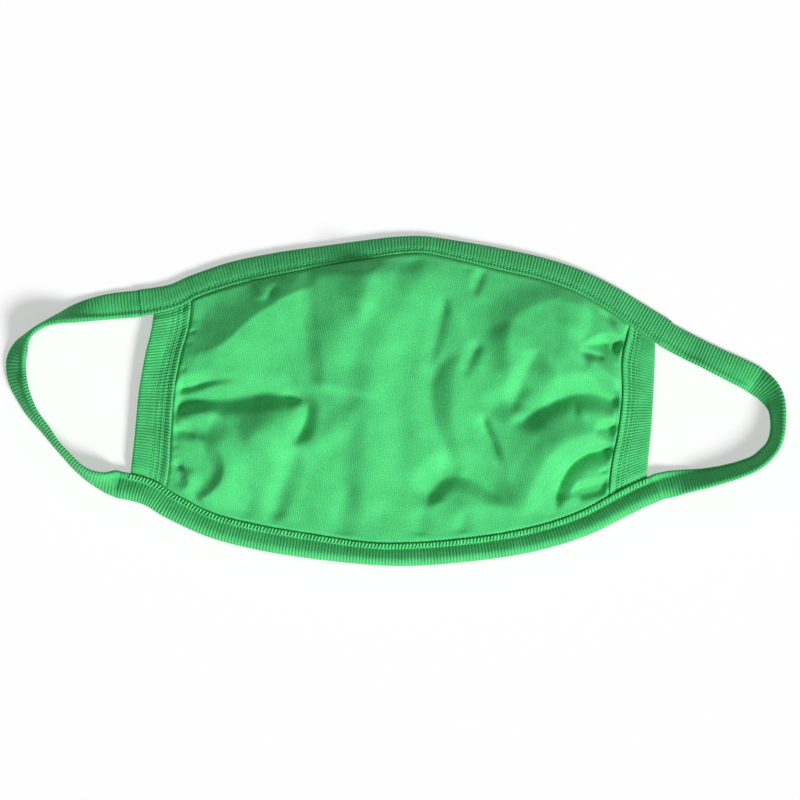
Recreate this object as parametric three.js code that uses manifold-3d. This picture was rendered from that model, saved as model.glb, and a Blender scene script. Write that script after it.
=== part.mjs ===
// A cotton jersey face mask lying flat, outer face up. Millimetres, +Z up.
// X runs from ear loop to ear loop, +Y is the top edge, and z = 0 is the surface that it lies on.
// A two-ply jersey body is gathered into two folded rib side bands. One rib binding closes over the
// top edge and one over the bottom edge, and beyond the corners the rib strip runs on as the ear loops.
import * as THREE from 'three';
import Module from 'manifold-3d';

const wasm = await Module();
wasm.setup();

const clothThickness = 1.5; // two plies of jersey
const ribLayer = 1.0; // one doubled layer of rib
const clearance = 0.3; // between pieces that touch
const slotHeight = clothThickness + 2 * clearance;
const slotMiddle = ribLayer + slotHeight / 2;
const tuckDepth = 4.2; // how far a cloth edge is held inside a fold
const seamInset = 0.8; // flat strip of body in front of a seam
const domeHeight = 4.6; // how far the body's middle stands above its edges
const archPowers = { lower: 1.25, upper: 0.9, sides: 0.65 }; // how the dome rises from each edge
const seamPuff = 1.3; // how far the body puffs up beside its seams
const bindingRamp = 2.5; // distance over which the folds die out towards a binding
const bandRamp = 3.0; // the same towards a side band
const restingHeight = 1.2; // of the cloth's middle where a valley lies on the surface below
const restingSoftness = 0.6;
const strapWidth = 10.5; // rib strip, across, in its flat end faces
const strapThickness = 2.3;
const cornerStrapThickness = 3.0; // ear loop where it leaves the binding
const cornerShare = { u: 0.03, v: 0.12 }; // of the body's sides, where no edge is tucked in
const bodyColumns = 42;
const bodyRows = 34;
const bindingSteps = 34;
const bandSteps = 12;
const loopSteps = 48;

// Outer edge of each binding from left to right, its width in plan and the lift of its inner edge.
const topBindingRows = [
  { x: -103, y: 44.6, width: 10.9, lift: 0 },
  { x: -91, y: 46.5, width: 10.2, lift: 0 },
  { x: -82, y: 50.3, width: 9.4, lift: 0 },
  { x: -66, y: 55.7, width: 9.6, lift: 1.6 },
  { x: -48, y: 59.4, width: 9.2, lift: 2.6 },
  { x: -30, y: 62.0, width: 8.2, lift: 3.0 },
  { x: -13, y: 64.3, width: 7.9, lift: 3.0 },
  { x: 0, y: 65.8, width: 7.3, lift: 3.0 },
  { x: 12, y: 66.0, width: 7.0, lift: 3.0 },
  { x: 26, y: 64.0, width: 7.7, lift: 3.0 },
  { x: 42, y: 61.2, width: 8.8, lift: 2.8 },
  { x: 60, y: 57.2, width: 9.0, lift: 2.2 },
  { x: 76, y: 51.8, width: 9.2, lift: 1.0 },
  { x: 90, y: 44.7, width: 9.9, lift: 0 },
  { x: 99, y: 39.1, width: 10.5, lift: 0 },
  { x: 111, y: 31.8, width: 11.2, lift: 0 },
];
const bottomBindingRows = [
  { x: -109.5, y: -39.5, width: 10.9, lift: 0 },
  { x: -104.5, y: -40.6, width: 10.9, lift: 0 },
  { x: -99.5, y: -42.4, width: 10.7, lift: 0 },
  { x: -92, y: -47.0, width: 10.4, lift: 0 },
  { x: -75, y: -54.7, width: 9.9, lift: 0.3 },
  { x: -56, y: -59.7, width: 10.1, lift: 0.5 },
  { x: -35, y: -63.2, width: 10.0, lift: 0.7 },
  { x: -12, y: -65.7, width: 9.1, lift: 0.8 },
  { x: 5, y: -66.3, width: 9.4, lift: 0.8 },
  { x: 24, y: -65.1, width: 9.5, lift: 0.7 },
  { x: 45, y: -62.5, width: 9.7, lift: 0.6 },
  { x: 62, y: -58.9, width: 9.9, lift: 0.4 },
  { x: 78, y: -53.6, width: 10.2, lift: 0.2 },
  { x: 93, y: -46.2, width: 10.7, lift: 0 },
  { x: 100, y: -42.7, width: 10.8, lift: 0 },
  { x: 106, y: -40.2, width: 10.9, lift: 0 },
];

// Side bands from bottom to top: x of the seam with the body and x of the folded outer edge.
const leftBandRows = [
  { y: -37, inner: -92.8, outer: -107.2 },
  { y: -27, inner: -90.6, outer: -105.9 },
  { y: -13, inner: -89.7, outer: -104.4 },
  { y: 4, inner: -88.4, outer: -102.7 },
  { y: 18, inner: -85.8, outer: -100.2 },
  { y: 30, inner: -82.6, outer: -97.4 },
  { y: 42, inner: -81.4, outer: -96.2 },
];
const rightBandRows = [
  { y: -36, inner: 85.4, outer: 100.4 },
  { y: -26, inner: 86.3, outer: 101.0 },
  { y: -12, inner: 89.0, outer: 102.3 },
  { y: 2, inner: 90.6, outer: 103.1 },
  { y: 16, inner: 90.4, outer: 103.6 },
  { y: 26, inner: 92.4, outer: 103.8 },
  { y: 36, inner: 94.4, outer: 103.8 },
];

// Middle line of each ear loop from the top corner round to the bottom corner, and the strap's width. Roll
// turns the strap about that line, in degrees: at 0 it lies flat, at 90 it stands on its edge with its inner
// edge on top.
const leftLoopRows = [
  { x: -110.4, y: 38.2, roll: 12, width: 11 },
  { x: -116.4, y: 37.4, roll: 19, width: 11 },
  { x: -122.8, y: 36.2, roll: 34, width: 10.9 },
  { x: -129.2, y: 34.6, roll: 53, width: 10.7 },
  { x: -135.6, y: 32.6, roll: 74, width: 10.5 },
  { x: -142, y: 29.6, roll: 86, width: 10.5 },
  { x: -146.8, y: 25.8, roll: 77, width: 10.5 },
  { x: -150.3, y: 21, roll: 55, width: 10.5 },
  { x: -152, y: 16, roll: 45, width: 10.5 },
  { x: -152.1, y: 11.4, roll: 46, width: 10.5 },
  { x: -151, y: 6.4, roll: 53, width: 10.5 },
  { x: -148.6, y: 0.6, roll: 62, width: 10.5 },
  { x: -145, y: -5.8, roll: 70, width: 10.5 },
  { x: -140.4, y: -11.6, roll: 75, width: 10.5 },
  { x: -135.6, y: -17.2, roll: 77, width: 10.5 },
  { x: -131.1, y: -22.3, roll: 76, width: 10.5 },
  { x: -126.6, y: -27, roll: 73, width: 10.5 },
  { x: -122.8, y: -29.8, roll: 67, width: 10.6 },
  { x: -119.6, y: -31.4, roll: 58, width: 10.7 },
  { x: -116.4, y: -32.6, roll: 44, width: 10.8 },
  { x: -113.4, y: -33.3, roll: 24, width: 10.9 },
];
const rightLoopRows = [
  { x: 117.2, y: 22, roll: 31, width: 11.6 },
  { x: 123.6, y: 18.9, roll: 38, width: 12 },
  { x: 130, y: 15.7, roll: 36, width: 12.1 },
  { x: 136.4, y: 12.5, roll: 25, width: 11.8 },
  { x: 142.8, y: 9, roll: 6, width: 11.4 },
  { x: 147.8, y: 5.2, roll: -18, width: 11 },
  { x: 151, y: 0.8, roll: -42, width: 10.8 },
  { x: 152.6, y: -4, roll: -60, width: 10.5 },
  { x: 152.8, y: -9.4, roll: -66, width: 10.4 },
  { x: 152.2, y: -14.4, roll: -68, width: 10.4 },
  { x: 150.4, y: -18.6, roll: -67, width: 10.4 },
  { x: 147, y: -22.4, roll: -64, width: 10.4 },
  { x: 142.8, y: -25.4, roll: -62, width: 10.4 },
  { x: 136.4, y: -27.8, roll: -57, width: 10.4 },
  { x: 130, y: -29.6, roll: -52, width: 10.4 },
  { x: 123.6, y: -31, roll: -44, width: 10.6 },
  { x: 117.2, y: -32, roll: -34, width: 10.9 },
  { x: 111.6, y: -33, roll: -18, width: 10.9 },
];

// Folds of the body, charted by hand. Height is above (+) or below (-) the smooth surface along the path.
// Left and right are the two flanks: how far each reaches, and how sharply it starts, from 0, a round crest,
// to 1, a crease. The fades are the lengths over which the two ends of the fold die away.
const folds = [
  { name: 'upper left ridge', height: 4.6, left: [19, 0.85], right: [22, 0.6], fades: [14, 12],
    path: [[-86, 18], [-76, 19.6], [-68, 23.6], [-62, 29.6], [-57, 34.4], [-50.8, 38.4], [-46, 41.6],
      [-38.8, 45], [-30.8, 47.2]] },
  { name: 'centre left ridge', height: 2.8, left: [16, 0.3], right: [14, 0.5], fades: [10, 12],
    path: [[-4.8, 57], [-9.6, 49.6], [-11.6, 42], [-13.6, 36], [-18.4, 31]] },
  { name: 'centre left slope', height: 3.6, left: [34, 0.1], right: [10, 0.4], fades: [20, 18],
    path: [[-29.2, 50], [-28.8, 40.4], [-27.8, 32.4], [-28, 24.4], [-29, 16.4], [-30.6, 8.4],
      [-31.6, 2.4]] },
  { name: 'centre left shoulder', height: 3.2, left: [26, 0.1], right: [13, 0.3], fades: [14, 14],
    path: [[-17.6, 50], [-19, 43.6], [-20.6, 36.4], [-23.4, 28.4], [-26.6, 20.4], [-29.2, 12.4]] },
  { name: 'left crease', height: -3.2, left: [6, 0.3], right: [3.5, 0.8], fades: [0.3, 18],
    path: [[-91, 4.4], [-84, 5.4], [-78, 7], [-72.8, 8.2], [-66, 8.4], [-58, 7.8]] },
  { name: 'left main valley', height: -4.2, left: [16, 0.3], right: [6.5, 0.6], fades: [0.3, 10],
    path: [[-91, -4.6], [-86.8, -2.2], [-81.2, -0.2], [-74, 0], [-66, -0.2], [-58, 0.6], [-50.8, 1.8],
      [-44, 1.2], [-38, 0], [-33, -1]] },
  { name: 'left wedge', height: 2.4, left: [12, 0.4], right: [16, 0.1], fades: [5, 9],
    path: [[-60.4, -18.4], [-53.6, -11.6], [-45, -6.6], [-37, -5]] },
  { name: 'left main ridge', height: 1.8, left: [4, 0.3], right: [7, 0.3], fades: [2, 6],
    path: [[-89.2, -6.4], [-82, -4.8], [-74.8, -4.4], [-69.2, -5.6]] },
  { name: 'left hook', height: -4, left: [4.5, 0.7], right: [6, 0.4], fades: [3, 10],
    path: [[-37.6, 1], [-35.4, -2], [-35.6, -6], [-37.2, -10], [-40, -14], [-43, -19.6]] },
  { name: 'left pocket\'s top', height: -2.4, left: [5, 0.3], right: [3.6, 0.8], fades: [0.3, 8],
    path: [[-91, -12.2], [-85, -12], [-80, -12.8], [-76, -14]] },
  { name: 'left pocket\'s rim', height: 2.2, left: [14, 0.2], right: [6, 0.8], fades: [8, 5],
    path: [[-79, -12.4], [-73, -15], [-69, -20], [-68, -24.6], [-70.4, -30], [-75, -35],
      [-81.6, -39.6]] },
  { name: 'left corner\'s top', height: -1.8, left: [3, 0.4], right: [3.4, 0.7], fades: [0.3, 3],
    path: [[-91, -25.4], [-87, -25.8], [-84.4, -28]] },
  { name: 'left corner\'s rim', height: 2.2, left: [6, 0.3], right: [4.5, 0.7], fades: [4, 0.5],
    path: [[-85.6, -26.4], [-83.2, -30], [-85.2, -33.6], [-91, -37]] },
  { name: 'soft ridge', height: 1.3, left: [8, 0.1], right: [7, 0.1], fades: [8, 10],
    path: [[-36.8, -19.6], [-30, -16], [-24, -11.2], [-18, -5.2], [-13.2, 0]] },
  { name: 'soft valley', height: -1.8, left: [7, 0.1], right: [7, 0.1], fades: [10, 24],
    path: [[-45, -46], [-41, -38], [-33.6, -29], [-22.6, -20.4], [-16, -12], [-12, -1.6], [-11, 6.4]] },
  { name: 'centre ridge\'s top', height: 1.2, left: [12, 0.1], right: [10, 0.1], fades: [10, 8],
    path: [[4, 56], [6, 49], [9.6, 41]] },
  { name: 'centre ridge', height: 2.2, left: [14, 0.1], right: [14, 0.1], fades: [14, 14],
    path: [[10, 46], [3.6, 33.6], [-1.2, 21.6], [-4.8, 8.4], [-6, -7.6], [-7.2, -23.6], [-8.8, -39.6],
      [-9.6, -50]] },
  { name: 'centre streak', height: -1.4, left: [3.6, 0.4], right: [6, 0.3], fades: [16, 5],
    path: [[21.2, 43.6], [19.2, 35], [17, 27], [14.8, 19], [13.4, 13]] },
  { name: 'streak\'s ridge', height: 1.8, left: [6, 0.2], right: [5, 0.2], fades: [5, 24],
    path: [[17.6, 49], [22, 39], [26.8, 29.4], [30.4, 20]] },
  { name: 'centre crease', height: -2.5, left: [6, 0.6], right: [8, 0.3], fades: [12, 12],
    path: [[22.8, 18.8], [17.6, 14], [14.8, 8], [14.4, 1.2], [15.6, -6.8], [18.4, -14.8], [21.2, -21.6],
      [23.2, -28]] },
  { name: 'crease\'s ridge', height: 1.3, left: [12, 0.2], right: [5, 0.4], fades: [6, 10],
    path: [[27.2, 19.6], [24, 12.4], [22.4, 2.4], [23.2, -7.6], [26, -15.6]] },
  { name: 'short crease', height: -1.7, left: [3.2, 0.6], right: [5, 0.4], fades: [4, 5],
    path: [[34.4, 24.4], [31.2, 19.4], [28.8, 14.4], [27.2, 8]] },
  { name: 'short crease\'s ridge', height: 0.8, left: [6, 0.3], right: [3, 0.3], fades: [5, 6],
    path: [[35.6, 22.4], [34, 16.4], [32.4, 9.2]] },
  { name: 'top notch', height: -1.7, left: [2.6, 0.6], right: [4, 0.4], fades: [1, 5],
    path: [[36, 54], [33.8, 49], [32.2, 44.6], [31.4, 40]] },
  { name: 'right plateau', height: 2.4, left: [50, 0], right: [7, 0.5], fades: [16, 12],
    path: [[80, 43], [66, 41], [58, 39], [50.8, 35.6], [46.4, 31.2], [45, 25.4], [45.2, 16.4],
      [44, 6.4]] },
  { name: 'plateau\'s shoulder', height: 1.8, left: [12, 0.2], right: [9, 0.4], fades: [6, 8],
    path: [[45, 28], [44.4, 18], [43.6, 8], [42, 0]] },
  { name: 'right ridge', height: 1.8, left: [5, 0.4], right: [12, 0.1], fades: [6, 8],
    path: [[75, 44], [74, 34], [72, 22]] },
  { name: 'right diagonal', height: -3.4, left: [8.5, 0.4], right: [6, 0.3], fades: [6, 6],
    path: [[60, 21.6], [55.6, 15.6], [52, 8.4], [49.6, 1.2], [47.6, -4], [46.4, -9]] },
  { name: 'upper right dip', height: -2.6, left: [8, 0.2], right: [6, 0.2], fades: [1, 8],
    path: [[80.8, 46], [83, 37.4], [86, 29.4]] },
  { name: 'right crease', height: -5.4, left: [3, 0.4], right: [7, 0.65], fades: [7, 0.3],
    path: [[74.6, 19.8], [79, 20.4], [83.2, 18.8], [86.8, 17.8], [92, 20.6]] },
  { name: 'right crease\'s edge', height: 2.2, left: [3.4, 0.8], right: [7, 0.2], fades: [8, 0.3],
    path: [[77, 17], [83.2, 13.2], [87.6, 10.4], [92, 7.6]] },
  { name: 'right main valley', height: -4.6, left: [14, 0.3], right: [9, 0.75], fades: [14, 0.3],
    path: [[48, -8], [54, -5.4], [60, -2.2], [65.2, 0.6], [70.8, 2.4], [76.4, 2.6], [81.2, 1.6], [86, 0],
      [92, -1.6]] },
  { name: 'right main ridge', height: 1.8, left: [6, 0.3], right: [7, 0.2], fades: [4, 1],
    path: [[70.8, -6.4], [76, -5], [82, -5.2], [88, -6.4]] },
  { name: 'right small crease', height: -4.2, left: [3.4, 0.5], right: [6.5, 0.65], fades: [4, 0.3],
    path: [[81, -14], [84, -11.8], [87.2, -11], [92, -11.2]] },
  { name: 'lower right ridge', height: 2.2, left: [8, 0.3], right: [12, 0.2], fades: [5, 7],
    path: [[86, -13.6], [78, -13], [69, -16], [61, -22], [56, -30.6], [52.4, -38.8], [50, -46.8]] },
  { name: 'right pocket', height: -5.6, left: [8, 0.85], right: [3.6, 0.3], fades: [0.3, 10],
    path: [[89, -20], [82, -19.8], [76, -21.8], [70.4, -26], [66.2, -32.6], [64.4, -39.6],
      [65.6, -45.6]] },
  { name: 'lower right crease', height: -5.6, left: [5, 0.4], right: [6, 0.75], fades: [4, 0.3],
    path: [[74, -36], [80.4, -33.8], [88, -32]] },
  { name: 'diamond crease', height: -2.4, left: [3.2, 0.8], right: [7, 0.3], fades: [2, 8],
    path: [[35.6, -4.8], [37.6, -11.6], [40.4, -17.6], [43.4, -23.6], [46.4, -30]] },
  { name: 'diamond\'s top', height: -1.6, left: [7, 0.2], right: [8, 0.4], fades: [3, 7],
    path: [[36.4, -5.2], [42, -0.4], [48, 3.6], [52, 8.4]] },
  { name: 'lower arc', height: -5.6, left: [5, 0.1], right: [12, 0.65], fades: [12, 8],
    path: [[8.6, -44], [10.6, -38.4], [14, -33.6], [19.2, -30.8], [26, -31], [33.2, -33.6],
      [39.6, -37.4], [45.6, -41]] },
  { name: 'hem dip one', height: -0.7, left: [5, 0.1], right: [5, 0.1], fades: [7, 1],
    path: [[-57.2, -36.4], [-59.6, -42.8], [-61, -48]] },
  { name: 'hem dip two', height: -0.7, left: [5, 0.1], right: [5, 0.1], fades: [7, 1],
    path: [[-44.8, -38.8], [-47.6, -44.4], [-49, -50]] },
  { name: 'hem dip three', height: -1.3, left: [8, 0.1], right: [6, 0.1], fades: [10, 1],
    path: [[-17.2, -31.6], [-20, -39.6], [-21.6, -47.6], [-22, -54]] },
  { name: 'hem dip four', height: -1, left: [6, 0.1], right: [5, 0.1], fades: [5, 1],
    path: [[11.6, -41.6], [10, -47.6], [9.2, -54]] },
  { name: 'hem dip five', height: -1, left: [4, 0.2], right: [4, 0.2], fades: [5, 1],
    path: [[28.4, -42.8], [26.8, -48.4], [26, -53]] },
];
const endReach = 0.3; // share of its reach that a fold keeps where it dies away

// Broad swells of the puffed-up cloth: centre, half width and half depth in plan, and height.
const swells = [
  { x: -51, y: -17, wide: 15, deep: 13, height: 4.2 },
  { x: 60, y: -19, wide: 16, deep: 14, height: 5.0 },
  { x: 70, y: 14, wide: 18, deep: 15, height: 3.2 },
  { x: -58, y: 22, wide: 18, deep: 12, height: 1.2 },
  { x: 22, y: -4, wide: 14, deep: 22, height: 1.2 },
];

// Gathers where the bands pinch the sides: how far up the seam each starts, how far in it runs, how much it
// climbs on the way, and its depth.
const gatherReach = 3.2;
const leftGathers = [
  { y: 27.6, length: 7, climb: 0.4, depth: 1.6 },
  { y: 12.4, length: 7, climb: 0.8, depth: 1.6 },
  { y: -8.4, length: 6, climb: 0.4, depth: 1.1 },
  { y: -17.6, length: 7, climb: -0.6, depth: 1.3 },
  { y: -31, length: 6, climb: 0.6, depth: 1.2 },
];
const rightGathers = [
  { y: 31, length: 6, climb: 1.2, depth: 1.3 },
  { y: 5, length: 7, climb: 0.8, depth: 1.3 },
  { y: -7, length: 6, climb: 0.4, depth: 1.3 },
  { y: -15.6, length: 6, climb: 0.2, depth: 1.2 },
  { y: -27.6, length: 8, climb: -1.2, depth: 1.7 },
];

// Cross-sections of the folded bindings: across runs from 0 at the inner edge to 1 at the folded outer edge.
// Each goes under the fold, round it, back over a stitched groove and into the slot between the layers. The
// top binding lies flat and the bottom one rolls up outside its groove.
const slotTop = ribLayer + slotHeight;
const flatSection = [
  { across: 0, z: 0 },
  { across: 0.86, z: 0 },
  { across: 0.97, z: 0.6 },
  { across: 1, z: 2.0 },
  { across: 0.96, z: 3.4 },
  { across: 0.84, z: 4.1 },
  { across: 0.64, z: 4.2 },
  { across: 0.4, z: 3.8 },
  { across: 0.22, z: 3.8 },
  { across: 0.12, z: 4.1 },
  { across: 0, z: 3.9 },
  { across: 0, z: slotTop },
  { across: 0.74, z: slotTop },
  { across: 0.74, z: ribLayer },
  { across: 0, z: ribLayer },
];
const rolledSection = [
  { across: 0, z: 0 },
  { across: 0.86, z: 0 },
  { across: 0.97, z: 0.6 },
  { across: 1, z: 2.0 },
  { across: 0.97, z: 3.6 },
  { across: 0.88, z: 4.8 },
  { across: 0.72, z: 5.4 },
  { across: 0.54, z: 4.9 },
  { across: 0.37, z: 4.1 },
  { across: 0.22, z: 3.8 },
  { across: 0.12, z: 4.1 },
  { across: 0, z: 3.9 },
  { across: 0, z: slotTop },
  { across: 0.74, z: slotTop },
  { across: 0.74, z: ribLayer },
  { across: 0, z: ribLayer },
];

// The same for a side band, whose slot is cut afterwards because its ends are closed.
const bandHeight = 4.1;
const bandSection = [
  { across: 0, z: 0 },
  { across: 0.3, z: 0 },
  { across: 0.6, z: 0 },
  { across: 0.92, z: 0 },
  { across: 0.98, z: 0.6 },
  { across: 1, z: 2.0 },
  { across: 0.97, z: 3.4 },
  { across: 0.9, z: 4.0 },
  { across: 0.5, z: bandHeight },
  { across: 0.42, z: 3.8 },
  { across: 0.16, z: 3.8 },
  { across: 0.06, z: bandHeight },
  { across: 0, z: 3.9 },
];
const bandSlot = [
  { across: -0.1, z: ribLayer },
  { across: 0.78, z: ribLayer },
  { across: 0.78, z: slotTop },
  { across: -0.1, z: slotTop },
];
const bandEndGap = 0.4; // between a band's end and the binding's inner edge
const bandClosedEnd = 3.0; // solid length at each end of a band, beside its slot
const tabInset = 0.03; // how much narrower than the band its end tabs are, at each edge

// Cross-section of the ear loop strap, in halves of its width and thickness.
const strapSection = [
  { across: -1, up: -0.45 },
  { across: -0.88, up: -1 },
  { across: 0.88, up: -1 },
  { across: 1, up: -0.45 },
  { across: 1, up: 0.45 },
  { across: 0.88, up: 1 },
  { across: -0.88, up: 1 },
  { across: -1, up: 0.45 },
];

const mix = (a, b, t) => a + (b - a) * t;
const shifted = (point, direction, distance) => [
  point[0] + direction[0] * distance,
  point[1] + direction[1] * distance,
];
function towards(from, to) {
  const size = Math.hypot(to[0] - from[0], to[1] - from[1]);
  return [(to[0] - from[0]) / size, (to[1] - from[1]) / size];
}

// Every column of a table, read smoothly at t from 0, the first row, to 1, the last.
function readRows(rows, t) {
  const place = t * (rows.length - 1);
  const first = Math.min(Math.floor(place), rows.length - 2);
  const f = place - first;
  const near = [-1, 0, 1, 2].map((step) => rows[THREE.MathUtils.clamp(first + step, 0, rows.length - 1)]);
  const result = {};
  for (const column of Object.keys(rows[0])) {
    const [a, b, c, d] = near.map((row) => row[column]);
    const curve = (2 * a - 5 * b + 4 * c - d) * f * f + (3 * b - a - 3 * c + d) * f * f * f;
    result[column] = 0.5 * (2 * b + (c - a) * f + curve);
  }
  return result;
}

// One column read against another in straight stretches.
function lookUp(rows, from, to, value) {
  let first = 0;
  while (first < rows.length - 2 && rows[first + 1][from] < value) first += 1;
  const t = (value - rows[first][from]) / (rows[first + 1][from] - rows[first][from]);
  return mix(rows[first][to], rows[first + 1][to], t);
}

// A closed body from its points and triangles, turned so that its faces point outwards.
function solidGeometry(points, triangles) {
  const at = triangles.map((triangle) => triangle.map((index) => points[index]));
  const cross = new THREE.Vector3();
  const volume = at.reduce((sum, [a, b, c]) => sum + a.dot(cross.crossVectors(b, c)), 0);
  const faces = volume < 0 ? triangles.map(([a, b, c]) => [a, c, b]) : triangles;
  const geometry = new THREE.BufferGeometry();
  geometry.setAttribute('position', new THREE.Float32BufferAttribute(points.flatMap((p) => p.toArray()), 3));
  geometry.setIndex(faces.flat());
  geometry.computeVertexNormals();
  return geometry;
}

// Joins rings of points into a closed body. The outline is the shape of its two flat ends.
function loft(rings, outline) {
  const count = outline.length;
  const points = rings.flat();
  const finish = points.length - count;
  const triangles = [];
  for (let start = 0; start < finish; start += count) {
    for (let k = 0; k < count; k += 1) {
      const a = start + k;
      const b = start + ((k + 1) % count);
      triangles.push([a, b, b + count], [a, b + count, a + count]);
    }
  }
  const turnsLeft = THREE.ShapeUtils.area(outline) > 0;
  for (const face of THREE.ShapeUtils.triangulateShape(outline, [])) {
    const sameTurn = THREE.ShapeUtils.area(face.map((index) => outline[index])) > 0 === turnsLeft;
    const [a, b, c] = sameTurn ? face : [face[0], face[2], face[1]];
    triangles.push([a, c, b], [a + finish, b + finish, c + finish]);
  }
  return solidGeometry(points, triangles);
}

// Stations along a binding: inner and outer edge in plan, the direction between them, and the lift.
function bindingStations(rows, inwardTurn) {
  return Array.from({ length: bindingSteps + 1 }, (_, step) => {
    const t = step / bindingSteps;
    const row = readRows(rows, t);
    const before = readRows(rows, Math.max(0, t - 0.01));
    const after = readRows(rows, Math.min(1, t + 0.01));
    const [dx, dy] = towards([before.x, before.y], [after.x, after.y]);
    const out = [inwardTurn * dy, -inwardTurn * dx];
    const outer = [row.x, row.y];
    const inner = shifted(outer, out, -row.width);
    return { x: inner[0], y: inner[1], inner, outer, out, width: row.width, lift: Math.max(0, row.lift) };
  });
}

const topStations = bindingStations(topBindingRows, -1);
const bottomStations = bindingStations(bottomBindingRows, 1);

function bindingGeometry(stations, section) {
  const rings = stations.map((station) => section.map(({ across, z }) => {
    const [x, y] = shifted(station.inner, station.out, across * station.width);
    return new THREE.Vector3(x, y, z + station.lift * (1 - across));
  }));
  const outline = section.map(({ across, z }) => new THREE.Vector2(across * strapWidth, z));
  return loft(rings, outline);
}

// The binding's inner edge at a given x: its y, the direction outwards, the width and the lift.
function seamAt(stations, x) {
  const read = (column) => lookUp(stations, 'x', column, x);
  let first = 0;
  while (first < stations.length - 2 && stations[first + 1].x < x) first += 1;
  return { x, y: read('y'), out: stations[first].out, width: read('width'), lift: read('lift') };
}

// Where a side band's inner or outer edge meets a binding's inner edge.
function cornerX(bandRows, edge, stations) {
  let x = bandRows[0][edge];
  for (let pass = 0; pass < 12; pass += 1) x = lookUp(bandRows, 'y', edge, seamAt(stations, x).y);
  return x;
}

// A place on a side band: across from 0 at the seam to 1 at the fold, rise from 0, bottom, to 1, top.
function bandPlace(rows, across, rise) {
  const endY = (stations) => {
    const x = mix(cornerX(rows, 'inner', stations), cornerX(rows, 'outer', stations), across);
    return seamAt(stations, x).y;
  };
  const [bottomY, topY] = [endY(bottomStations), endY(topStations)];
  const y = mix(bottomY, topY, rise);
  const inner = lookUp(rows, 'y', 'inner', mix(seamY(rows, 'inner', 0), seamY(rows, 'inner', 1), rise));
  const outer = lookUp(rows, 'y', 'outer', mix(seamY(rows, 'outer', 0), seamY(rows, 'outer', 1), rise));
  return [mix(inner, outer, across), y];
}

function seamY(rows, edge, end) {
  const stations = end === 0 ? bottomStations : topStations;
  return seamAt(stations, cornerX(rows, edge, stations)).y;
}

const toManifold = (geometry) => new wasm.Manifold(new wasm.Mesh({
  numProp: 3,
  vertProperties: geometry.attributes.position.array,
  triVerts: new Uint32Array(geometry.index.array),
}));

function fromManifold(manifold) {
  const mesh = manifold.getMesh();
  const geometry = new THREE.BufferGeometry();
  geometry.setAttribute('position', new THREE.BufferAttribute(mesh.vertProperties.slice(), 3));
  geometry.setIndex(new THREE.BufferAttribute(mesh.triVerts.slice(), 1));
  geometry.computeVertexNormals();
  return geometry;
}

// A folded side band with its two end tabs, less the slot that holds the body's gathered edge.
function bandGeometry(rows) {
  const length = seamY(rows, 'inner', 1) - seamY(rows, 'inner', 0);
  const endShare = bandEndGap / length;
  const body = (section, rise) => section.map(({ across, z }) => {
    const [x, y] = bandPlace(rows, across, rise);
    return new THREE.Vector3(x, y, z);
  });
  const tab = (end, reach) => bandSection.map(({ across, z }) => {
    const narrow = mix(tabInset, 1 - tabInset, across);
    const stations = end === 0 ? bottomStations : topStations;
    const rise = end === 0 ? endShare : 1 - endShare;
    const root = bandPlace(rows, narrow, rise);
    const [x, y] = shifted(root, seamAt(stations, root[0]).out, reach);
    return new THREE.Vector3(x, y, slotMiddle + (z / bandHeight - 0.5) * clothThickness);
  });
  const rises = Array.from({ length: bandSteps + 1 }, (_, step) => (
    mix(endShare, 1 - endShare, step / bandSteps)
  ));
  const rings = [
    tab(0, tuckDepth),
    tab(0, 0),
    ...rises.map((rise) => body(bandSection, rise)),
    tab(1, 0),
    tab(1, tuckDepth),
  ];
  const asOutline = (section) => section.map(({ across, z }) => new THREE.Vector2(across * strapWidth, z));
  const slotShare = (bandEndGap + bandClosedEnd) / length;
  const slotRises = Array.from({ length: bandSteps + 1 }, (_, step) => (
    mix(slotShare, 1 - slotShare, step / bandSteps)
  ));
  const slot = loft(slotRises.map((rise) => body(bandSlot, rise)), asOutline(bandSlot));
  return fromManifold(toManifold(loft(rings, asOutline(bandSection))).subtract(toManifold(slot)));
}

// Points along a fold's path, close enough together to read as a curve.
function foldLine(path) {
  const rows = path.map(([x, y]) => ({ x, y }));
  const steps = 8 * (rows.length - 1);
  return Array.from({ length: steps + 1 }, (_, step) => readRows(rows, step / steps));
}

const smooth = (t) => THREE.MathUtils.smoothstep(t, 0, 1);

// A fold's height at a place: its flank profile across the path, dying away and narrowing at its ends.
function foldHeight(fold, x, y) {
  const { line } = fold;
  let nearest = Infinity;
  let side = 1;
  let place = 0;
  let travelled = 0;
  for (let k = 0; k < line.length - 1; k += 1) {
    const [dx, dy] = [line[k + 1].x - line[k].x, line[k + 1].y - line[k].y];
    const length = Math.hypot(dx, dy);
    const [px, py] = [x - line[k].x, y - line[k].y];
    const t = THREE.MathUtils.clamp((px * dx + py * dy) / (length * length), 0, 1);
    const distance = Math.hypot(px - t * dx, py - t * dy);
    if (distance < nearest) {
      nearest = distance;
      side = Math.sign(dx * py - dy * px);
      place = travelled + t * length;
    }
    travelled += length;
  }
  const ends = smooth(place / fold.fades[0]) * smooth((travelled - place) / fold.fades[1]);
  const [reach, sharp] = side > 0 ? fold.left : fold.right;
  const q = Math.min(1, nearest / (reach * mix(endReach, 1, ends)));
  return fold.height * ends * (1 - q) ** 2 * (1 + 2 * q * (1 - sharp));
}

// A gather as a fold that starts at the band's seam and runs into the body.
function gather({ y, length, climb, depth }, bandRows, inwards) {
  const x = lookUp(bandRows, 'y', 'inner', y);
  const flank = [gatherReach, 0.5];
  const path = [[x, y], [x + (inwards * length) / 2, y + 0.3 * climb], [x + inwards * length, y + climb]];
  return { height: -depth, left: flank, right: flank, fades: [0.4, 0.8 * length], path };
}

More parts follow.
